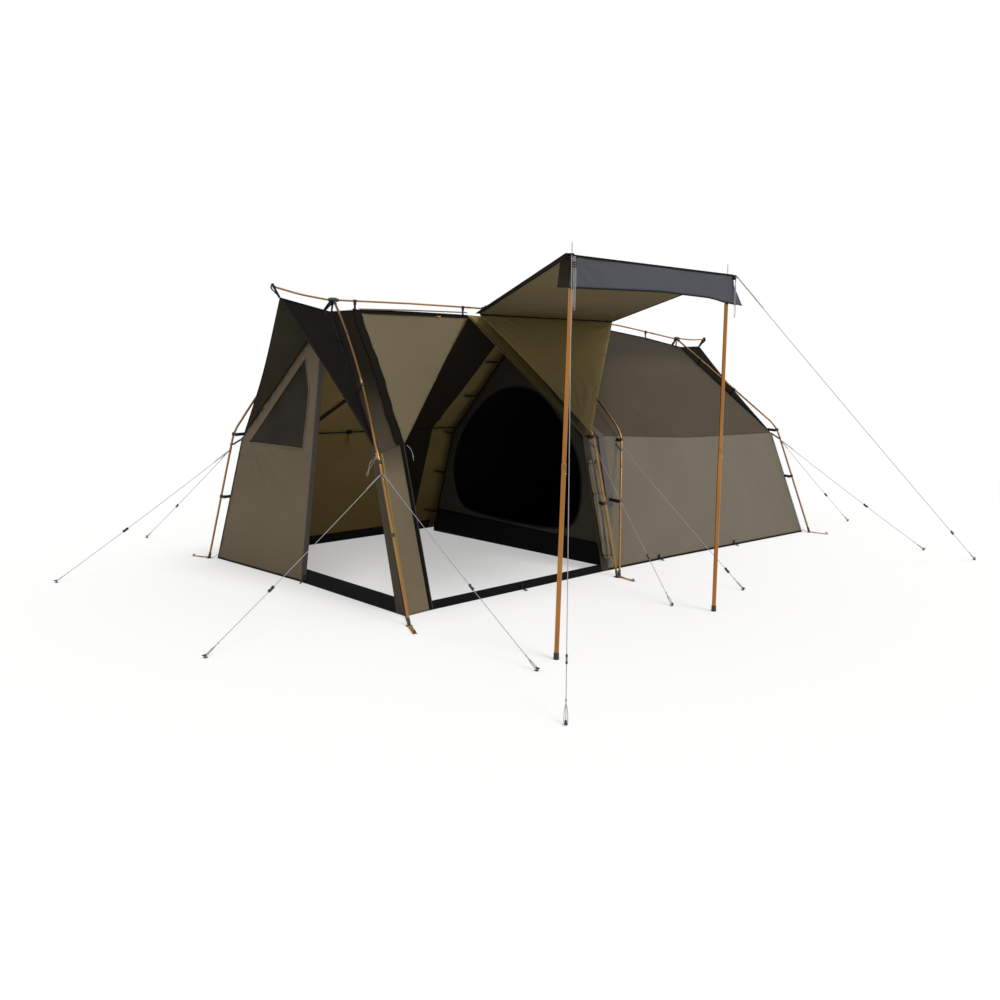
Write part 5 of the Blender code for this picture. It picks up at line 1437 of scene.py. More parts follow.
class TENT_OT_panel(bpy.types.Operator):
    """The raised door panel, its flap over the ridge, its side fold and its valance"""
    bl_idname = "tent.panel"
    bl_label = "Raised door panel"

    def execute(self, context):
        wide, long = PANEL_WIDE, PANEL_LONG
        trim = Shape()
        left = [panel_point(0, k / 24) + vec(-0.012, 0, 0.006) for k in range(25)]
        right = [panel_point(1, k / 24) for k in range(25)]
        front = [panel_point(k / 16, 1) for k in range(17)]
        for line, width in ((left, 0.050), (right, 0.018), (front, 0.012)):
            tape(trim, line, UP, width, lift=0.0002)
            tape(trim, [p - UP * 0.0022 for p in line], -UP, width, lift=0.0002)
        for x, sign in zip(AWN_FRONT_X, (-1, 1)):
            start = vec(x - sign * 0.030, AWN_Y + 0.030, AWN_Z - 0.0052)
            tape(trim, [start, corner_tab_end(x, sign) - UP * 0.0022], UP, 0.020, lift=0.0012)
        for x in POST_TOP_X:
            z = EDGE_Z + (AWN_Z - EDGE_Z) * (POST_Y - EDGE_Y) / (AWN_Y - EDGE_Y)
            trim.lathe((x, POST_Y, z - 0.0030), UP, EYELET, 24, 1)
        edging = put(trim.build("raised_panel_edging", "binding_tape", "steel"), "dark_fabric", body="awning")
        panel("raised_panel", box_rim(wide, long), lambda u, v: panel_point(u / wide, v / long),
              "door_cloth shade_cloth", UP, (3.20, 2.36), "taupe_fabric", "awning_panel", pieces=[edging],
              body="awning", step=0.035, seed=15.3, edge=0.06,
              anchors=[(0, long, 0.6, 0.006, 22, 0.4), (wide, long, 0.55, 0.006, 22, 0.1),
                       (0, 0, 0.6, 0.006, 20, 0.9), (wide, 0, 0.5, 0.005, 20, 0.5)])
        self.flap()
        self.fold()
        self.valance()
        return {"FINISHED"}

    def flap(self):
        """The strip that passes over the ridge pole, from behind it to the fold."""
        high = [vec(x, 0.0, ridge_z(x) + FLAP_COVER) for x in (*FLAP_START, *FLAP_XS[2:])]
        spot, wide, deep = ruled(high, [vec(x, EDGE_Y, EDGE_Z - 0.0022) for x in FLAP_XS])

        def over(u, v):
            return spot(u, v) if v >= 0.0 else spot(u, 0.0) + vec(0, -v, -abs(v) * 0.25)
        edge = Shape()
        side = [over(0.006, v) for v in (-FLAP_BACK, 0.0, deep * 0.5, deep)]
        tape(edge, side, vec(-0.2, -0.4, 0.9), 0.018, lift=0.0010)
        binding = put(edge.build("door_panel_flap_binding", "binding_tape"), "dark_fabric")
        panel("door_panel_flap", [(0.0, -FLAP_BACK), (wide, -FLAP_BACK), (wide, deep), (0.0, deep)], over,
              "door_cloth lining_cloth", (0, -0.4, 0.9), (wide, deep + FLAP_BACK), "olive_fabric", "door_panel_gusset",
              pieces=[binding], step=0.02, wave=0.001, seed=16.4)

    def fold(self):
        """The part of the door panel that hangs from the fold down to the jamb."""
        a, b = (vec(x, EDGE_Y, EDGE_Z - 0.0026) for x in AWN_X)
        tip = Vector(GUSSET_TIP)
        spot, flat = planar(a, b, tip)
        bowed = [a.lerp(tip, t) + vec(0.03, -0.01, 0) * math.sin(math.pi * t) for t in (0.8, 0.6, 0.4, 0.2)]
        rim = [flat(p) for p in (a, b, b.lerp(tip, 0.985), a.lerp(tip, 0.985), *bowed)]
        edge = Shape()
        tape(edge, [p + vec(0, -0.002, -0.003) for p in (a, b)], vec(0, -0.9, 0.3), 0.008, lift=0.0006)
        edge.lathe((0.53, EDGE_Y - 0.004, EDGE_Z - AWN_THICK - 0.006), (0, -0.8, -0.3), BUTTON, 20, 1)
        binding = put(edge.build("door_panel_fold_binding", "binding_tape", "moulding"), "dark_fabric")
        panel("door_panel_fold", rim, spot, "fold_cloth door_cloth", (0, -0.75, 0.66), (b.x - a.x, flat(tip)[1]),
              "olive_fabric", "door_panel_gusset", pieces=[binding], step=0.025, wave=0.003, seed=17.1, edge=0.04,
              anchors=[(*flat(tip), 0.6, 0.007, 30, 0.2), (*flat(a), 0.35, 0.005, 22, 0.9),
                       (*flat(b), 0.35, 0.004, 18, 0.2)])

    def valance(self):
        """The flap along the front edge, with a short return at each side; the left return's face and the inner faces
        of both returns are painted shade.
        """
        left, right = AWN_FRONT_X
        top, y = VALANCE_Z, VALANCE_Y
        bottom = [(left - 0.02, top - VALANCE_HIGH), (-1.48, top - 0.142), (-0.96, top - 0.151), (-0.82, top - 0.170),
                  (right + 0.045, top - 0.178)]
        spot, wide, high = ruled([(left, y, top), (right, y, top)], [(x, y, z) for x, z in bottom])
        hem = Shape()
        for v, width in ((high, 0.008), (0.003, 0.005)):
            tape(hem, [spot(wide * k / 20, v) for k in range(21)], vec(0, -1, 0), width, lift=0.0002)
        trim = put(hem.build("valance_hem", "binding_tape"), "dark_fabric", body="valance_flap")
        behind = y + 0.001
        # The left return's face and both returns' inner faces take the dark band finish: painted shade on the valance
        # cloth.
        for name, finish, sign, x, high_end, low, low_end in (
                ("left", "divider_cloth", -1, left, (left - 0.012, y + 0.075, top - 0.012), bottom[0],
                 (left - 0.075, y + 0.035, top - VALANCE_HIGH)),
                ("right", "valance_cloth", 1, right, (right + 0.022, y + 0.020, top - 0.030), bottom[-1],
                 (right + 0.165, y + 0.030, top - 0.180))):
            ruled_panel(f"valance_return_{name}", [(x, behind, top), high_end], [(low[0], behind, low[1]), low_end],
                        f"{finish} divider_cloth", (sign, -0.4, 0), "slate_fabric", "valance", held="hung",
                        body="valance_flap", step=0.015, wave=0.003, seed=19.5 + sign, edge=0.015)
        panel("valance_cloth_front", box_rim(wide, high), spot, "valance_cloth valance_cloth", (0, -1, 0), (wide, high),
              "slate_fabric", "valance", held="hung", pieces=[trim], body="valance_flap", step=0.018, wave=0.0035,
              seed=18.6, edge=0.02, thick=0.0014,
              anchors=[(0.03, 0.0, 0.3, 0.004, 12, 0.3), (wide - 0.02, 0.0, 0.3, 0.004, 12, 0.8)])


TAPE_LIFT = 0.0018      # how far a wide tape stands off the cloth
TAB_BENDS = ((0.003, 0.05), (0.008, 0.012), (0.055, 0.003))
WALL_TABS = ((0.307, -1.206, -1), (1.35, -1.264, -1), (-1.30, -1.187, -1),
             (-1.3, 1.33, 1), (0.4, 1.33, 1), (1.5, 1.33, 1))


class TENT_OT_trim(bpy.types.Operator):
    """Seam tapes, hems, zip tapes and sliders"""
    bl_idname = "tent.trim"
    bl_label = "Seams and zips"

    def execute(self, context):
        foot, shoulder, top = Vector(DOOR_LEFT_FOOT), Vector(DOOR_LEFT), roof_ridge(STRIP_TOP_X)
        self.seams(top)
        self.hems()
        aside, inset = vec(0, -0.022, 0), vec(-0.016, 0, 0)
        mesh_top = vec(-0.20, -0.970, 1.055)
        wavy = [shoulder.lerp(top, k / 20) + inset * (1.6 + 0.5 * math.sin(k * 0.45) + 0.25 * math.sin(k * 1.9))
                for k in range(21)]
        cover = [roof_ridge(x) + UP * (0.001 + 0.016 * max(0, x + 1.87)) for x in (STRIP_TOP_X, -1.40, DOOR_TOP_X)]
        front_edge = [roof_ridge(x) + vec(0, -0.016, -0.014) for x in (STRIP_TOP_X, -1.40, DOOR_TOP_X)]
        corner = [Vector(p[-1, -1]) + vec(0.022, -0.001, 0) for p in (SHOULDER, HEM)]
        for name, finish, slot, tapes in (
                ("zip_strips", "zip_cloth", "taupe_fabric",
                 (([ZIP_LOW.lerp(ZIP_HIGH, 0.012) + aside, ZIP_LOW.lerp(ZIP_HIGH, 0.5) + aside, ZIP_HIGH + aside * 0.6],
                   LEFT_OUT, 0.068, 0.0022),
                  ([end_face(END_POST[1] - 0.02, 0.007), end_face(END_POST[0] - 0.022, END_POST_TOP)],
                   LEFT_OUT, 0.040, TAPE_LIFT))),
                ("door_opening_binding", "visor_cloth", "dark_fabric",
                 (([foot + inset, shoulder + inset], FRONT_OUT, 0.034, TAPE_LIFT),
                  (wavy, ROOF_FRONT_OUT, 0.066, TAPE_LIFT), (front_edge, ROOF_FRONT_OUT, 0.040, TAPE_LIFT),
                  ([roof_ridge(DOOR_TOP_X) + vec(0.02, -0.02, -0.02), DOOR_RIGHT], ROOF_FRONT_OUT, 0.008, TAPE_LIFT))),
                ("jamb_mesh_strip", "mesh_strip", "grey_mesh",
                 (([at_height((-0.20, -1.185, 0), mesh_top, 0.50), mesh_top], FRONT_OUT, 0.075, 0.0030),
                  ([mesh_top, (-0.29, -0.80, 1.225)], ROOF_FRONT_OUT, 0.075, 0.0060))),
                ("ridge_cover", "door_cloth", "taupe_fabric", ((cover, vec(0, -0.3, 1), 0.040, 0.0016),)),
                ("zip_teeth", "tooth_plastic", "zip_metal",
                 (([p + vec(-0.004, 0, 0) for p in (foot, shoulder)], FRONT_OUT, 0.006, 0.0022, 0.0018),
                  ([p + vec(0, 0.003, 0) for p in (ZIP_LOW, ZIP_HIGH)], LEFT_OUT, 0.006, 0.0022, 0.0018))),
                ("corner_piping", "lining_cloth", "olive_fabric", ((corner, FRONT_OUT, 0.016, 0.0020),)),
                ("window_binding", "end_cloth", "taupe_fabric",
                 (([left_point(y, z) for y, z in (*WINDOW, WINDOW[0])], LEFT_OUT, 0.012, 0.0006),))):
            shape = Shape()
            for line in tapes:
                tape(shape, *line)
            put(shape.build(name, finish), slot)
        self.sliders()
        self.small_tabs()
        return {"FINISHED"}

    def seams(self, strip_top):
        """Tapes along the corner seams, the ridge and the back wall's inside, where a strap and its buckle hang."""
        seams = Shape()
        for side, _ in SIDES:
            for face, _ in FACES:
                line = [SHOULDER[side, face], Vector(HEM[side, face]) + UP * 0.003]
                tape(seams, line, vec(side * 0.4, face * 0.9, 0.3), 0.012, lift=0.0016)
        tape(seams, [Vector(SHOULDER[side, 1]) + vec(0, -0.004, 0) for side in (-1, 1)], vec(0, -1, -0.2), 0.014)
        strap = [(-1.75, 0.800, 1.165), (-1.588, 0.660, 1.321), (-1.51, 0.60, 1.385)]
        seams.ribbon(strap, (0, -0.7, -0.7), 0.030, 0.002)
        seams.block((-1.367, 0.925, 1.045), (1, 0, 0), (0, 1, 0), UP, (0.045, 0.016, 0.036))
        seams.ribbon([(-1.367, 0.925, 1.04), (-1.352, 0.93, 0.98), (-1.362, 0.92, 0.93)], (0, -1, 0), 0.022, 0.002, 1)
        ridge = [roof_ridge(x) for x in (AWN_X[1], *SEAM_X[3:])]
        for line in ([PEAK[-1], APEX[-1], strip_top], [*ridge, APEX[1], PEAK[1]]):
            tape(seams, line, UP, 0.018, lift=0.0016)
        put(seams.build("seam_tapes", "binding_tape", "foot_webbing"), "dark_fabric")

    def hems(self):
        """Tapes along the ground, and the mud flap inside the back wall."""
        hems = Shape()
        lift = UP * 0.009
        jamb_foot = Vector(DOOR_RIGHT_FOOT) + vec(JAMB, -0.003, 0)
        back = [left_point(y, 0.0) for y in (END_ZIP[0] + 0.02, 0.7, 1.32)]
        for line, out, width in (([jamb_foot, HEM_MIDDLE, HEM[1, -1]], FRONT_OUT, 0.014),
                                 ([HEM[-1, 1], HEM[1, 1]], BACK_OUT, 0.014),
                                 ([HEM[1, -1], HEM[1, 1]], RIGHT_OUT, 0.014), (back, LEFT_OUT, 0.012)):
            tape(hems, [Vector(p) + lift for p in line], out, width, lift=TAPE_LIFT)
        flap = [at_height(HEM[s, 1], SHOULDER[s, 1], 0.046) + vec(0.03 * -s, -0.012, 0) for s in (-1, 1)]
        tape(hems, [flap[0], flap[0].lerp(flap[1], 0.46)], vec(0, -1, -0.3), 0.090)
        put(hems.build("hem_tapes", "tub_cloth"), "black_fabric")

    def sliders(self):
        """A slider with its pull on each zip."""
        front = (Vector(DOOR_LEFT) - Vector(DOOR_LEFT_FOOT)).normalized(), FRONT_OUT.normalized()
        end = (ZIP_HIGH - ZIP_LOW).normalized(), LEFT_OUT.normalized()
        for name, (up, out) in (("front", front), ("end", end)):
            lo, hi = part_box(f"zip_slider_{name}")
            middle = (Vector(lo) + Vector(hi)) / 2
            out = square(out, up)
            side = up.cross(out)
            shape = Shape().block(middle + up * 0.004 - out * 0.0008, side, out, up, (0.011, 0.0040, 0.015))
            shape.block(middle + up * 0.004 + out * 0.0022, side, out, up, (0.0045, 0.0016, 0.011))
            shape.block(middle - up * 0.007 + out * 0.0014, side, out, up, (0.0075, 0.0016, 0.0155))
            put(shape.build(f"zip_slider_{name}_body", "dark_steel"), "zip_metal", f"zip_slider_{name}",
                body=f"{name}_zip_pull")

    def small_tabs(self):
        """Loops and tabs along the ground: beside the left sill, on the long walls and at the corners."""
        shape = Shape()
        base = end_face(0.06, 0.012)
        shape.ribbon([base + vec(-0.002, 0, 0.05), base + vec(-0.006, 0, 0.01), base + vec(-0.04, 0, -0.009)],
                     vec(-1, 0, 0.4), 0.02, 0.0014)
        for x, y, s in WALL_TABS:
            shape.ribbon([vec(x, y + s * out, z) for out, z in TAB_BENDS], vec(0, s, 0.4), 0.022, 0.0014)
        for side, _ in SIDES:
            for face, _ in FACES:
                hem, foot = Vector(HEM[side, face]), vec(side * FOOT_X, face * FOOT_Y, 0)
                way = (foot - hem).normalized()
                shape.ribbon([hem + UP * 0.03 + way * 0.004, hem + way * 0.03 + UP * 0.012,
                              foot - way * 0.024 + UP * 0.006], UP, 0.018, 0.0014)
        put(shape.build("ground_tabs", "black_webbing"), "black_fabric")


INNER_LOW, TUB_HIGH = 0.0065, ((1, 0.236), (-1, 0.185))
HOOK_SHARES, HOOK_HEIGHTS = (0.23, 0.58), (0.60, 0.20)
# Side of the canopy, its shoulder's height, its hem's depth and its shoulder's
WALL_SIDES = ((1, 1.034, 1.33, 0.952), (-1, 1.055, 1.19, 0.955))


class TENT_OT_inner(bpy.types.Operator):
    """The bedroom: front with its D-shaped door, sides, floor and the hooks that hang it"""
    bl_idname = "tent.inner"
    bl_label = "Inner tent"

    def execute(self, context):
        low, foot = INNER_LOW, INNER_FOOT
        front = [(0.0, INNER_RIDGE[0]), (INNER_HALF, INNER_SHOULDER), (foot, low), (-foot, low),
                 (-INNER_HALF, INNER_SHOULDER)]
        hole = [(p.x, p.y) for p in smooth_loop(INNER_DOOR, 4)]
        trim = Shape()
        for line, width in (([*hole, hole[0]], 0.016),
                            ([(-foot, low + 0.01), front[4], front[0], front[1], (foot, low + 0.01)], 0.020)):
            tape(trim, [vec(INNER_X + 0.0008, y, z) for y, z in line], vec(-1, 0, 0), width, lift=0.0003)
        binding = put(trim.build("inner_front_binding", "binding_tape"), "inner_fabric")
        panel("inner_front_cloth", front, lambda y, z: vec(INNER_X + 0.001, y, z), "inner_cloth inner_cloth",
              (-1, 0, 0), (2 * foot, INNER_RIDGE[0]), "inner_fabric", "inner_front", pieces=[binding],
              holes=[hole], step=0.035, wave=0.002, seed=21.2,
              anchors=[(0.86, 0.98, 0.35, 0.002, 16, 0.3), (0, 1.86, 0.3, 0.002, 16, 0.1)])
        for side, name in FACES:
            self.side(name, side)
        # The end and the sides are lined with the black tub finish: painted shade inside the bedroom.
        end = [(0.0, INNER_RIDGE[1] - 0.004), *((y, max(z, 0.008)) for y, z in front[1:])]
        panel("inner_end_cloth", end, lambda y, z: vec(INNER_END - 0.003, y, z), "inner_side_cloth tub_cloth",
              (1, 0, 0), (2 * foot, INNER_RIDGE[1]), "inner_fabric", "inner_side_back", step=0.06, wave=0.002,
              seed=24.4)
        deep = INNER_END - INNER_X + 0.010
        panel("inner_floor_sheet", box_rim(deep, 2 * foot), lambda u, v: vec(INNER_X - 0.01 + u, v - foot, 0.0050),
              "tub_cloth tub_cloth", UP, (deep, 2 * foot), "inner_fabric", "inner_floor", held="laid", step=0.05,
              wave=0.0012, seed=25.5)
        slant = (foot - INNER_HALF) / INNER_SHOULDER
        ruled_panel("inner_tub_band", [(INNER_X - 0.003, s * (foot - slant * z), z) for s, z in TUB_HIGH],
                    [(INNER_X - 0.010, s * (foot - 0.005), low) for s, _ in TUB_HIGH], "tub_cloth tub_cloth",
                    (-1, 0, 0), "inner_fabric", "inner_floor", step=0.03, wave=0.003, seed=26.1, edge=0.03)
        self.hooks()
        return {"FINISHED"}

    def side(self, name, s):
        """One side: roof slope and wall in a single sheet."""
        x0 = INNER_X + 0.0055
        long = INNER_END - x0
        slope = math.hypot(INNER_HALF, INNER_RIDGE[0] - INNER_SHOULDER)
        wall = math.hypot(INNER_FOOT - INNER_HALF, INNER_SHOULDER)

        def spot(u, v):
            if v <= slope:
                ridge = INNER_RIDGE[0] + (INNER_RIDGE[1] - INNER_RIDGE[0]) * u / long
                k = v / slope
                return vec(x0 + u, s * (0.0006 + (INNER_HALF - 0.0006) * k),
                           ridge + (INNER_SHOULDER - ridge) * k - 0.001)
            k = (v - slope) / wall
            return vec(x0 + u, s * (INNER_HALF + (INNER_FOOT - INNER_HALF) * k - 0.001),
                       INNER_SHOULDER + (0.0045 - INNER_SHOULDER) * k)
        # The inner face takes the black tub finish: painted shade inside the bedroom.
        panel(f"inner_side_{name}_cloth", box_rim(long, slope + wall), spot, "inner_side_cloth tub_cloth",
              (0, s * 0.8, 0.6), (long, slope + wall), "inner_fabric", f"inner_side_{name}", step=0.05, sag=0.02,
              seed=23.0 + s, anchors=[(x, slope, 0.35, 0.004, 16, t) for x, t in ((0, 0.3), (long, 0.6))])

    def hooks(self):
        """Elastic straps with hooks from the inner tent's front edge to the canopy."""
        shape = Shape()
        x = INNER_X + 0.0025
        ridge = roof_ridge(x)
        for s, shoulder, hem, edge_y in WALL_SIDES:
            lines = []
            for share in HOOK_SHARES:
                z = INNER_RIDGE[0] + (INNER_SHOULDER - INNER_RIDGE[0]) * share
                high = at_height((x, 0, ridge.z), (x, s * edge_y, shoulder), z) - vec(0.06, 0, 0)
                lines.append((vec(x, s * INNER_HALF * share, z), high))
            lines.append((vec(x, s * INNER_HALF, INNER_SHOULDER), vec(x - 0.05, s * edge_y, shoulder - 0.03)))
            for z in HOOK_HEIGHTS:
                y = INNER_HALF + (INNER_FOOT - INNER_HALF) * (1 - z / INNER_SHOULDER)
                wall = edge_y + (hem - edge_y) * (1 - z / shoulder)
                lines.append((vec(x, s * y, z), vec(x - 0.06, s * wall, z + 0.01)))
            for start, end in lines:
                way = (end - start).normalized()
                stop = end - way * 0.010
                shape.ribbon([start - way * 0.028, start.lerp(stop, 0.5), stop], (-1, 0, 0), 0.019)
                shape.block(start.lerp(stop, 0.84) + vec(-0.003, 0, 0), way, (1, 0, 0), way.cross(vec(1, 0, 0)),
                            (0.026, 0.006, 0.026), 1)
        put(shape.build("inner_hooks", "black_webbing", "moulding"), "black_moulding", "inner_front")


ROLL_TIES, ROLL_FOOT, ROLL_TOP = (0.03, 0.66, 0.97), 0.10, DOOR_RIGHT[2] - 0.20
ROLL_RINGS, ROLL_SIDES = 60, 56


class TENT_OT_roll(bpy.types.Operator):
    """The mesh door, gathered and tied beside the right jamb"""
    bl_idname = "tent.roll"
    bl_label = "Rolled door"

    def execute(self, context):
        foot, top = (Vector(p) + vec(JAMB / 2, 0, 0) for p in (DOOR_RIGHT_FOOT, DOOR_RIGHT))
        lean = (top - foot).normalized()
        out = vec(0, -lean.z, lean.y)
        side = lean.cross(out)

        def core(t):
            """Radius and centre of the roll at a share of its height."""
            radius = 0.036 + 0.018 * (1 - t)
            middle = at_height(foot, top, ROLL_FOOT + (ROLL_TOP - ROLL_FOOT) * t)
            return radius, middle + out * (radius + 0.0014) + side * (0.022 * (1 - t))
        rows = []
        for j in range(ROLL_RINGS + 1):
            t = j / ROLL_RINGS
            radius, centre = core(t)
            pinch = 1.0 - 0.20 * sum(math.exp(-((t - tie) / 0.022) ** 2) for tie in ROLL_TIES)
            pinch *= 0.82 if j in (0, ROLL_RINGS) else 1.0
            twist = 1.3 * math.sin(t * 2.4) + t * 0.9
            ring = []
            for k, way in enumerate(round_ways(side, out, ROLL_SIDES)):
                angle = math.tau * k / ROLL_SIDES
                pleat = 0.24 * math.cos(7 * angle + twist * 2.0 + 1.5 * noise.noise(vec(t * 3.0, angle, 0.4)))
                pleat += 0.05 * math.cos(11 * angle - twist * 3.0)
                ring.append(centre + way * (radius * pinch * (0.87 + pleat * (1.25 - 0.25 * pinch))))
            rows.append(ring)
        long = (ROLL_TOP - ROLL_FOOT) / ROLL_RINGS
        shape = Shape().closed(rows, lambda j, i: (i / ROLL_SIDES * 0.20, j * long))
        roll = put(shape.build("door_roll_cloth", "roll_cloth", angle=60), "grey_mesh", "door_roll")
        ties = Shape()
        for tie in ROLL_TIES:
            radius, centre = core(tie)
            ways = round_ways(side, out, 24)
            ties.tube([centre + way * radius * 0.80 for way in (*ways, ways[0])], 0.0022, 10)
            ties.block(centre + out * radius * 0.86, lean, side, out, (0.012, 0.008, 0.006), 1)
        put(ties.build("door_roll_ties", "black_webbing", "moulding"), "black_moulding")
        return {"FINISHED"}


GUYLINE_PEG = [(0, 0.0038), (0.016, 0.0038), (0.017, 0.0060), (0.019, 0.0064), (0.0205, 0.0040)]
HANK_DROPS = (1.0, 0.72, 0.93, 0.55)
HANKS = (("near", 1.915, 4, 0.045), ("far", 1.935, 2, 0.008))     # name, lowest point, turns, drop to the knot
TOGGLE = symmetric([(0, 0.0035), (0.0015, 0.0056), (0.012, 0.0052)], 0.038, 0.0036)
TOGGLES = (((-1.127, -0.028, 2.012), (1, 0.2, 0), (0, -0.7, 0.72)),     # centre, way and facing
           ((-2.405, -0.945, 1.038), (0.2, -0.1, -1), (0, -1, 0.1)))


def knot(shape, centre, way, side, diameter):
    """A small overhand knot round a cord."""
    over = side.cross(way)
    points = []
    for k in range(22):
        a = math.tau * 2 * k / 21
        points.append(centre + way * (-0.0055 + 0.0110 * k / 21)
                      + (side * math.cos(a) + over * math.sin(a)) * diameter * 0.80)
    shape.tube(points, diameter * 0.42, 8)


class TENT_OT_cords(bpy.types.Operator):
    """Guylines with their tensioners and pegs, and the short cords at the doors"""
    bl_idname = "tent.cords"
    bl_label = "Guylines"

    def execute(self, context):
        for name, (place, peg, share) in GUYLINES.items():
            self.guyline(name, place, vec(*peg, PEG_TOP), share, context.scene.tent_frame.cord_width)
        self.hanks()
        self.toggles()
        return {"FINISHED"}

    def guyline(self, name, place, peg, share, diameter):
        """The cord with its strands and knots, its tensioner and its peg."""
        route = guyline_route(place, peg)
        long = line_length(route)
        way = (route[-1] - route[0]).normalized()
        side = way.cross(UP).normalized()
        over = side.cross(way)
        line = Shape().tube(route, diameter / 2, 12).build(f"{name}_line", "guyline_braid")
        fit = along_line(route, share)
        strand = [along_line(route, 0.003) + over * 0.0036]
        for k in range(1, 25):
            bow = 0.0036 + 0.0016 * math.sin(math.pi * k / 24)
            strand.append(along_line(route, 0.01 + 0.08 * k / 24) + over * bow)
        tied = along_line(route, min(0.985, 1 - 0.10 / long))
        loop = []
        for k in range(17):
            a = math.pi * (k / 16 - 0.5)
            loop.append(peg + way * (0.010 * math.cos(a) - 0.003) + side * 0.0095 * math.sin(a) + UP * 0.0005)
        half = tied.lerp(peg, 0.5)
        extra, thin = Shape(), diameter * 0.46
        extra.tube(smooth_line(strand, 2), thin, 10)
        extra.tube([fit + over * (0.0088 - 0.0008 * k) + way * (0.006 * k) for k in range(-1, 6)], thin, 10)
        for centre in (tied, route[0] + way * 0.020):
            knot(extra, centre, way, side, diameter)
        loop = [tied + side * 0.0025, half - side * 0.008, *loop, half + side * 0.008, tied - side * 0.0025]
        extra.tube(loop, thin, 10)
        strands = extra.build(f"{name}_strands", "guyline_braid")
        fitting = Shape().block(fit, way, side, over, (0.046, 0.0085, 0.0175))
        for end in (0.016, -0.016):
            fitting.block(fit + way * end + over * 0.006, way, side, over, (0.012, 0.011, 0.009))
        tensioner = fitting.build(f"{name}_tensioner", "moulding")
        ground, flat = vec(peg.x, peg.y, 0.0), vec(way.x, way.y, 0).normalized()
        stake = Shape().lathe(ground + UP * 0.0018, flat * 0.35 + UP, GUYLINE_PEG, 16)
        stake.block(ground + UP * 0.0185 + flat * 0.006, flat, flat.cross(UP), UP, (0.026, 0.011, 0.0060))
        stake.block(ground + UP * 0.0045 - flat * 0.001, flat, flat.cross(UP), UP, (0.020, 0.017, 0.0050))
        spike = stake.build(f"{name}_peg", "peg_moulding")
        for part, slot in ((line, "pale_cord"), (strands, "pale_cord"), (tensioner, "black_moulding"),
                           (spike, "black_moulding")):
            if place.startswith("corner") and part is not spike:
                tuple(route[-1])
                tuple(route[0])
                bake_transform(part)
            else:
                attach(part, "tent")
        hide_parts(name)
        tuple(route[0])
        [tuple(p) for p in route]

    def hanks(self):
        """Spare cord, wound and hung at the front corners of the raised panel."""
        for x, sign, (name, low, turns, drop_to_knot) in zip(AWN_FRONT_X, (-1, 1), HANKS):
            top = corner_tab_end(x, sign) + vec(-sign * 0.012, -0.004, -0.006)
            loops = Shape()
            for k in range(turns):
                spread = 0.004 + 0.0022 * ((k * 3) % turns)
                drop = (top.z - low) * HANK_DROPS[k]
                ring = []
                for j in range(25):
                    a = math.tau * j / 24
                    ring.append(top + vec(spread * math.sin(a), -0.010 + 0.0033 * k + 0.002 * math.sin(a * 2 + k),
                                          -drop / 2 * (1 - math.cos(a))))
                loops.tube(ring, 0.0014, 8)
            waist, girth = top - UP * drop_to_knot, 0.006 + 0.0015 * turns
            loops.tube([waist + vec(girth * math.cos(a / 2), girth * math.sin(a / 2), (a / 20 - 1) * 1.5 * girth)
                        for a in range(41)], 0.0030, 8, 1)
            hank = loops.build(f"spare_cord_{name}", "guyline_braid", "black_webbing")
            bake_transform(hank)

    def toggles(self):
        """Two toggles with their loops, the tie cord of the left door edge and the cord on its shoulder."""
        shape = Shape()
        for centre, way, face in TOGGLES:
            centre, way, face = Vector(centre), Vector(way).normalized(), Vector(face)
            out, aside = face.normalized(), way.cross(face).normalized()
            shape.lathe(centre - way * 0.019 + out * 0.005, way, TOGGLE, 16)
            shape.tube([centre + out * 0.006 + aside * (0.003 + 0.016 * math.sin(math.pi * k / 10)) - UP * (0.002 * k)
                        for k in range(11)], 0.0016, 8, 1)
        put(shape.build("toggles", "gold_plastic", "guyline_braid"), "gold_anodised")
        cords = Shape()
        start, low = vec(-2.408, -0.952, 1.030), vec(-2.458, -0.925, 0.915)
        cords.tube(smooth_line([start, start.lerp(low, 0.5) + vec(-0.022, -0.004, 0.020), low,
                                low + vec(-0.012, -0.004, 0.012), start + vec(-0.006, -0.006, -0.004)], 8), 0.0016, 8)
        door, end = vec(-2.172, -0.966, 1.098), vec(-2.133, -0.985, 1.020)
        cords.tube(smooth_line([door, door.lerp(end, 0.4) + vec(0.006, -0.010, 0), end,
                                end + vec(0.004, 0.002, -0.030)], 8), 0.0018, 8)
        knot(cords, end, vec(0.3, 0, -1).normalized(), vec(1, 0, 0.3).normalized(), 0.004)
        put(cords.build("door_tie_cords", "guyline_braid"), "pale_cord")


def directly_seen(board):
    """1 for the rays that show the background: from the camera, off metal or through clear parts."""
    kinds = [board.node("ShaderNodeLightPath", {}, {}, out=f"Is {kind} Ray")
             for kind in ("Camera", "Glossy", "Transmission")]
    return (kinds[0] + kinds[1] + kinds[2]).clamped()


FLOOR_HALF, FLOOR_Z = 60, -0.0006


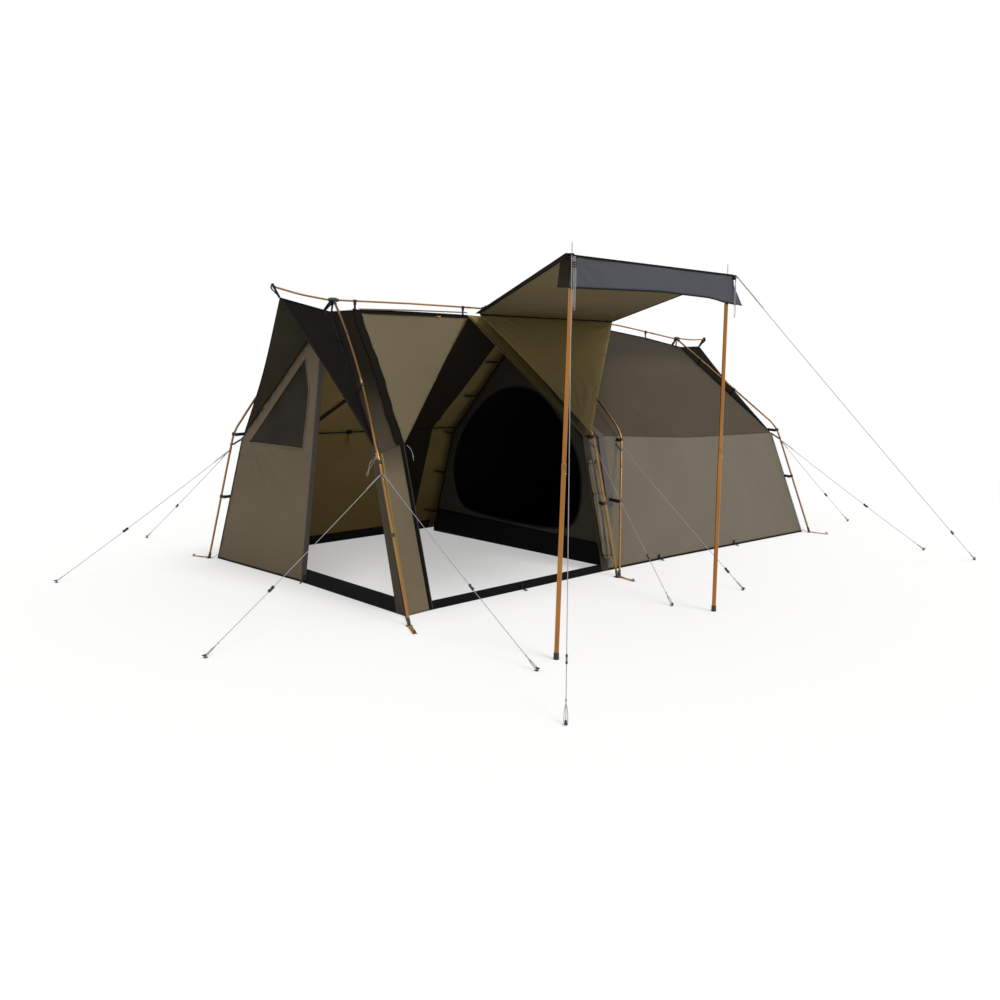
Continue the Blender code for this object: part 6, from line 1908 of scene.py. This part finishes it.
class TENT_OT_stage(bpy.types.Operator):
    """Pale floor, even light, a soft key light and the camera"""
    bl_idname = "tent.stage"
    bl_label = "Stage"

    def execute(self, context):
        scene, settings = context.scene, context.scene.tent_stage
        mesh = bpy.data.meshes.new("studio_floor")
        corners = [(x * FLOOR_HALF, y * FLOOR_HALF, FLOOR_Z) for x, y in ((-1, -1), (1, -1), (1, 1), (-1, 1))]
        mesh.from_pydata(corners, [], [(0, 1, 2, 3)])
        b = Board("studio_floor")
        diffuse = b.node("ShaderNodeBsdfDiffuse", {}, {"Color": tuple(settings.floor)})
        white = b.node("ShaderNodeEmission", {}, {"Color": (1.0, 1.0, 1.0), "Strength": 1.0})
        away = b.node("ShaderNodeVectorMath", {"operation": "LENGTH"}, {0: b.place()}, out="Value")
        share = directly_seen(b) * (away.between(3.5, 9.0) * 0.6 + 0.4)
        mixed = b.node("ShaderNodeMixShader", {}, {0: share, 1: diffuse, 2: white})
        b.tree.links.new(mixed.socket, b.tree.nodes["Material Output"].inputs["Surface"])
        b.tree.nodes.remove(b.shader)
        mesh.materials.append(b.material)
        linked("studio_floor", mesh)
        sky = Board("studio", "worlds")
        ray = sky.node("ShaderNodeTexCoord", {}, {}, out="Generated")
        toward = sky.node("ShaderNodeVectorMath", {"operation": "DOT_PRODUCT"}, {0: ray, 1: (0.0, -0.66, 0.75)},
                          out="Value")
        level = (toward.between(-0.8, 1.0) * 0.75 + 0.25) * settings.sky
        sky.feed(sky.shader.inputs["Color"], (1.0, 1.0, 1.0))
        sky.feed(sky.shader.inputs["Strength"], level + (1.0 - level) * directly_seen(sky))
        scene.world = sky.material
        sun = bpy.data.lights.new("key_light", "SUN")
        sun.energy, sun.angle, sun.color = settings.sun, math.radians(22), (1.0, 0.985, 0.96)
        lamp = linked("key_light", sun)
        lamp.rotation_euler = vec(0.05, -0.62, 0.85).to_track_quat("Z", "Y").to_euler()
        self.camera(scene)
        scene.view_settings.view_transform = "Standard"
        return {"FINISHED"}

    def camera(self, scene):
        """The photograph's viewpoint."""
        yaw, pitch, roll = (math.radians(a) for a in (42.95, -8.27, 0.24))
        forward = vec(math.sin(yaw) * math.cos(pitch), math.cos(yaw) * math.cos(pitch), math.sin(pitch))
        level = vec(math.cos(yaw), -math.sin(yaw), 0.0)
        above = level.cross(forward)
        right = level * math.cos(roll) + above * math.sin(roll)
        up = above * math.cos(roll) - level * math.sin(roll)
        data = bpy.data.cameras.new("camera")
        data.lens, data.sensor_width, data.clip_end = 33.11, 36.0, 200.0
        camera = linked("camera", data)
        matrix = Matrix((right, up, -forward)).transposed().to_4x4()
        matrix.translation = vec(-5.903, -5.894, 1.6216)
        camera.matrix_world = matrix
        scene.camera = camera


PIECES = (TENT_OT_stage, TENT_OT_cords, TENT_OT_ridge, TENT_OT_arches, TENT_OT_hubs, TENT_OT_clips, TENT_OT_feet,
          TENT_OT_posts, TENT_OT_roof, TENT_OT_walls, TENT_OT_ends, TENT_OT_visors, TENT_OT_panel, TENT_OT_trim,
          TENT_OT_inner, TENT_OT_roll)


class TENT_PT_panel(bpy.types.Panel):
    """Sizes, colours and pieces of the tent"""
    bl_idname = "TENT_PT_panel"
    bl_label = "Two-room tent"
    bl_space_type = "VIEW_3D"
    bl_region_type = "UI"
    bl_category = "Tent"

    def draw(self, context):
        for group in (context.scene.tent_fabrics, context.scene.tent_frame, context.scene.tent_stage):
            box = self.layout.box()
            for key in group.__annotations__:
                box.prop(group, key)
        for piece in PIECES:
            self.layout.operator(piece.bl_idname)


GROUPS = {"tent_fabrics": TentFabrics, "tent_frame": TentFrame, "tent_stage": TentStage}


def register():
    for kind in (*GROUPS.values(), *PIECES, TENT_PT_panel):
        bpy.utils.register_class(kind)
    for key, kind in GROUPS.items():
        setattr(bpy.types.Scene, key, bpy.props.PointerProperty(type=kind))


def unregister():
    for key in GROUPS:
        delattr(bpy.types.Scene, key)
    for kind in (TENT_PT_panel, *PIECES[::-1], *GROUPS.values()):
        bpy.utils.unregister_class(kind)


def main():
    register()
    for piece in PIECES:
        group, action = piece.bl_idname.split(".")
        getattr(getattr(bpy.ops, group), action)()


if __name__ == "__main__":
    main()
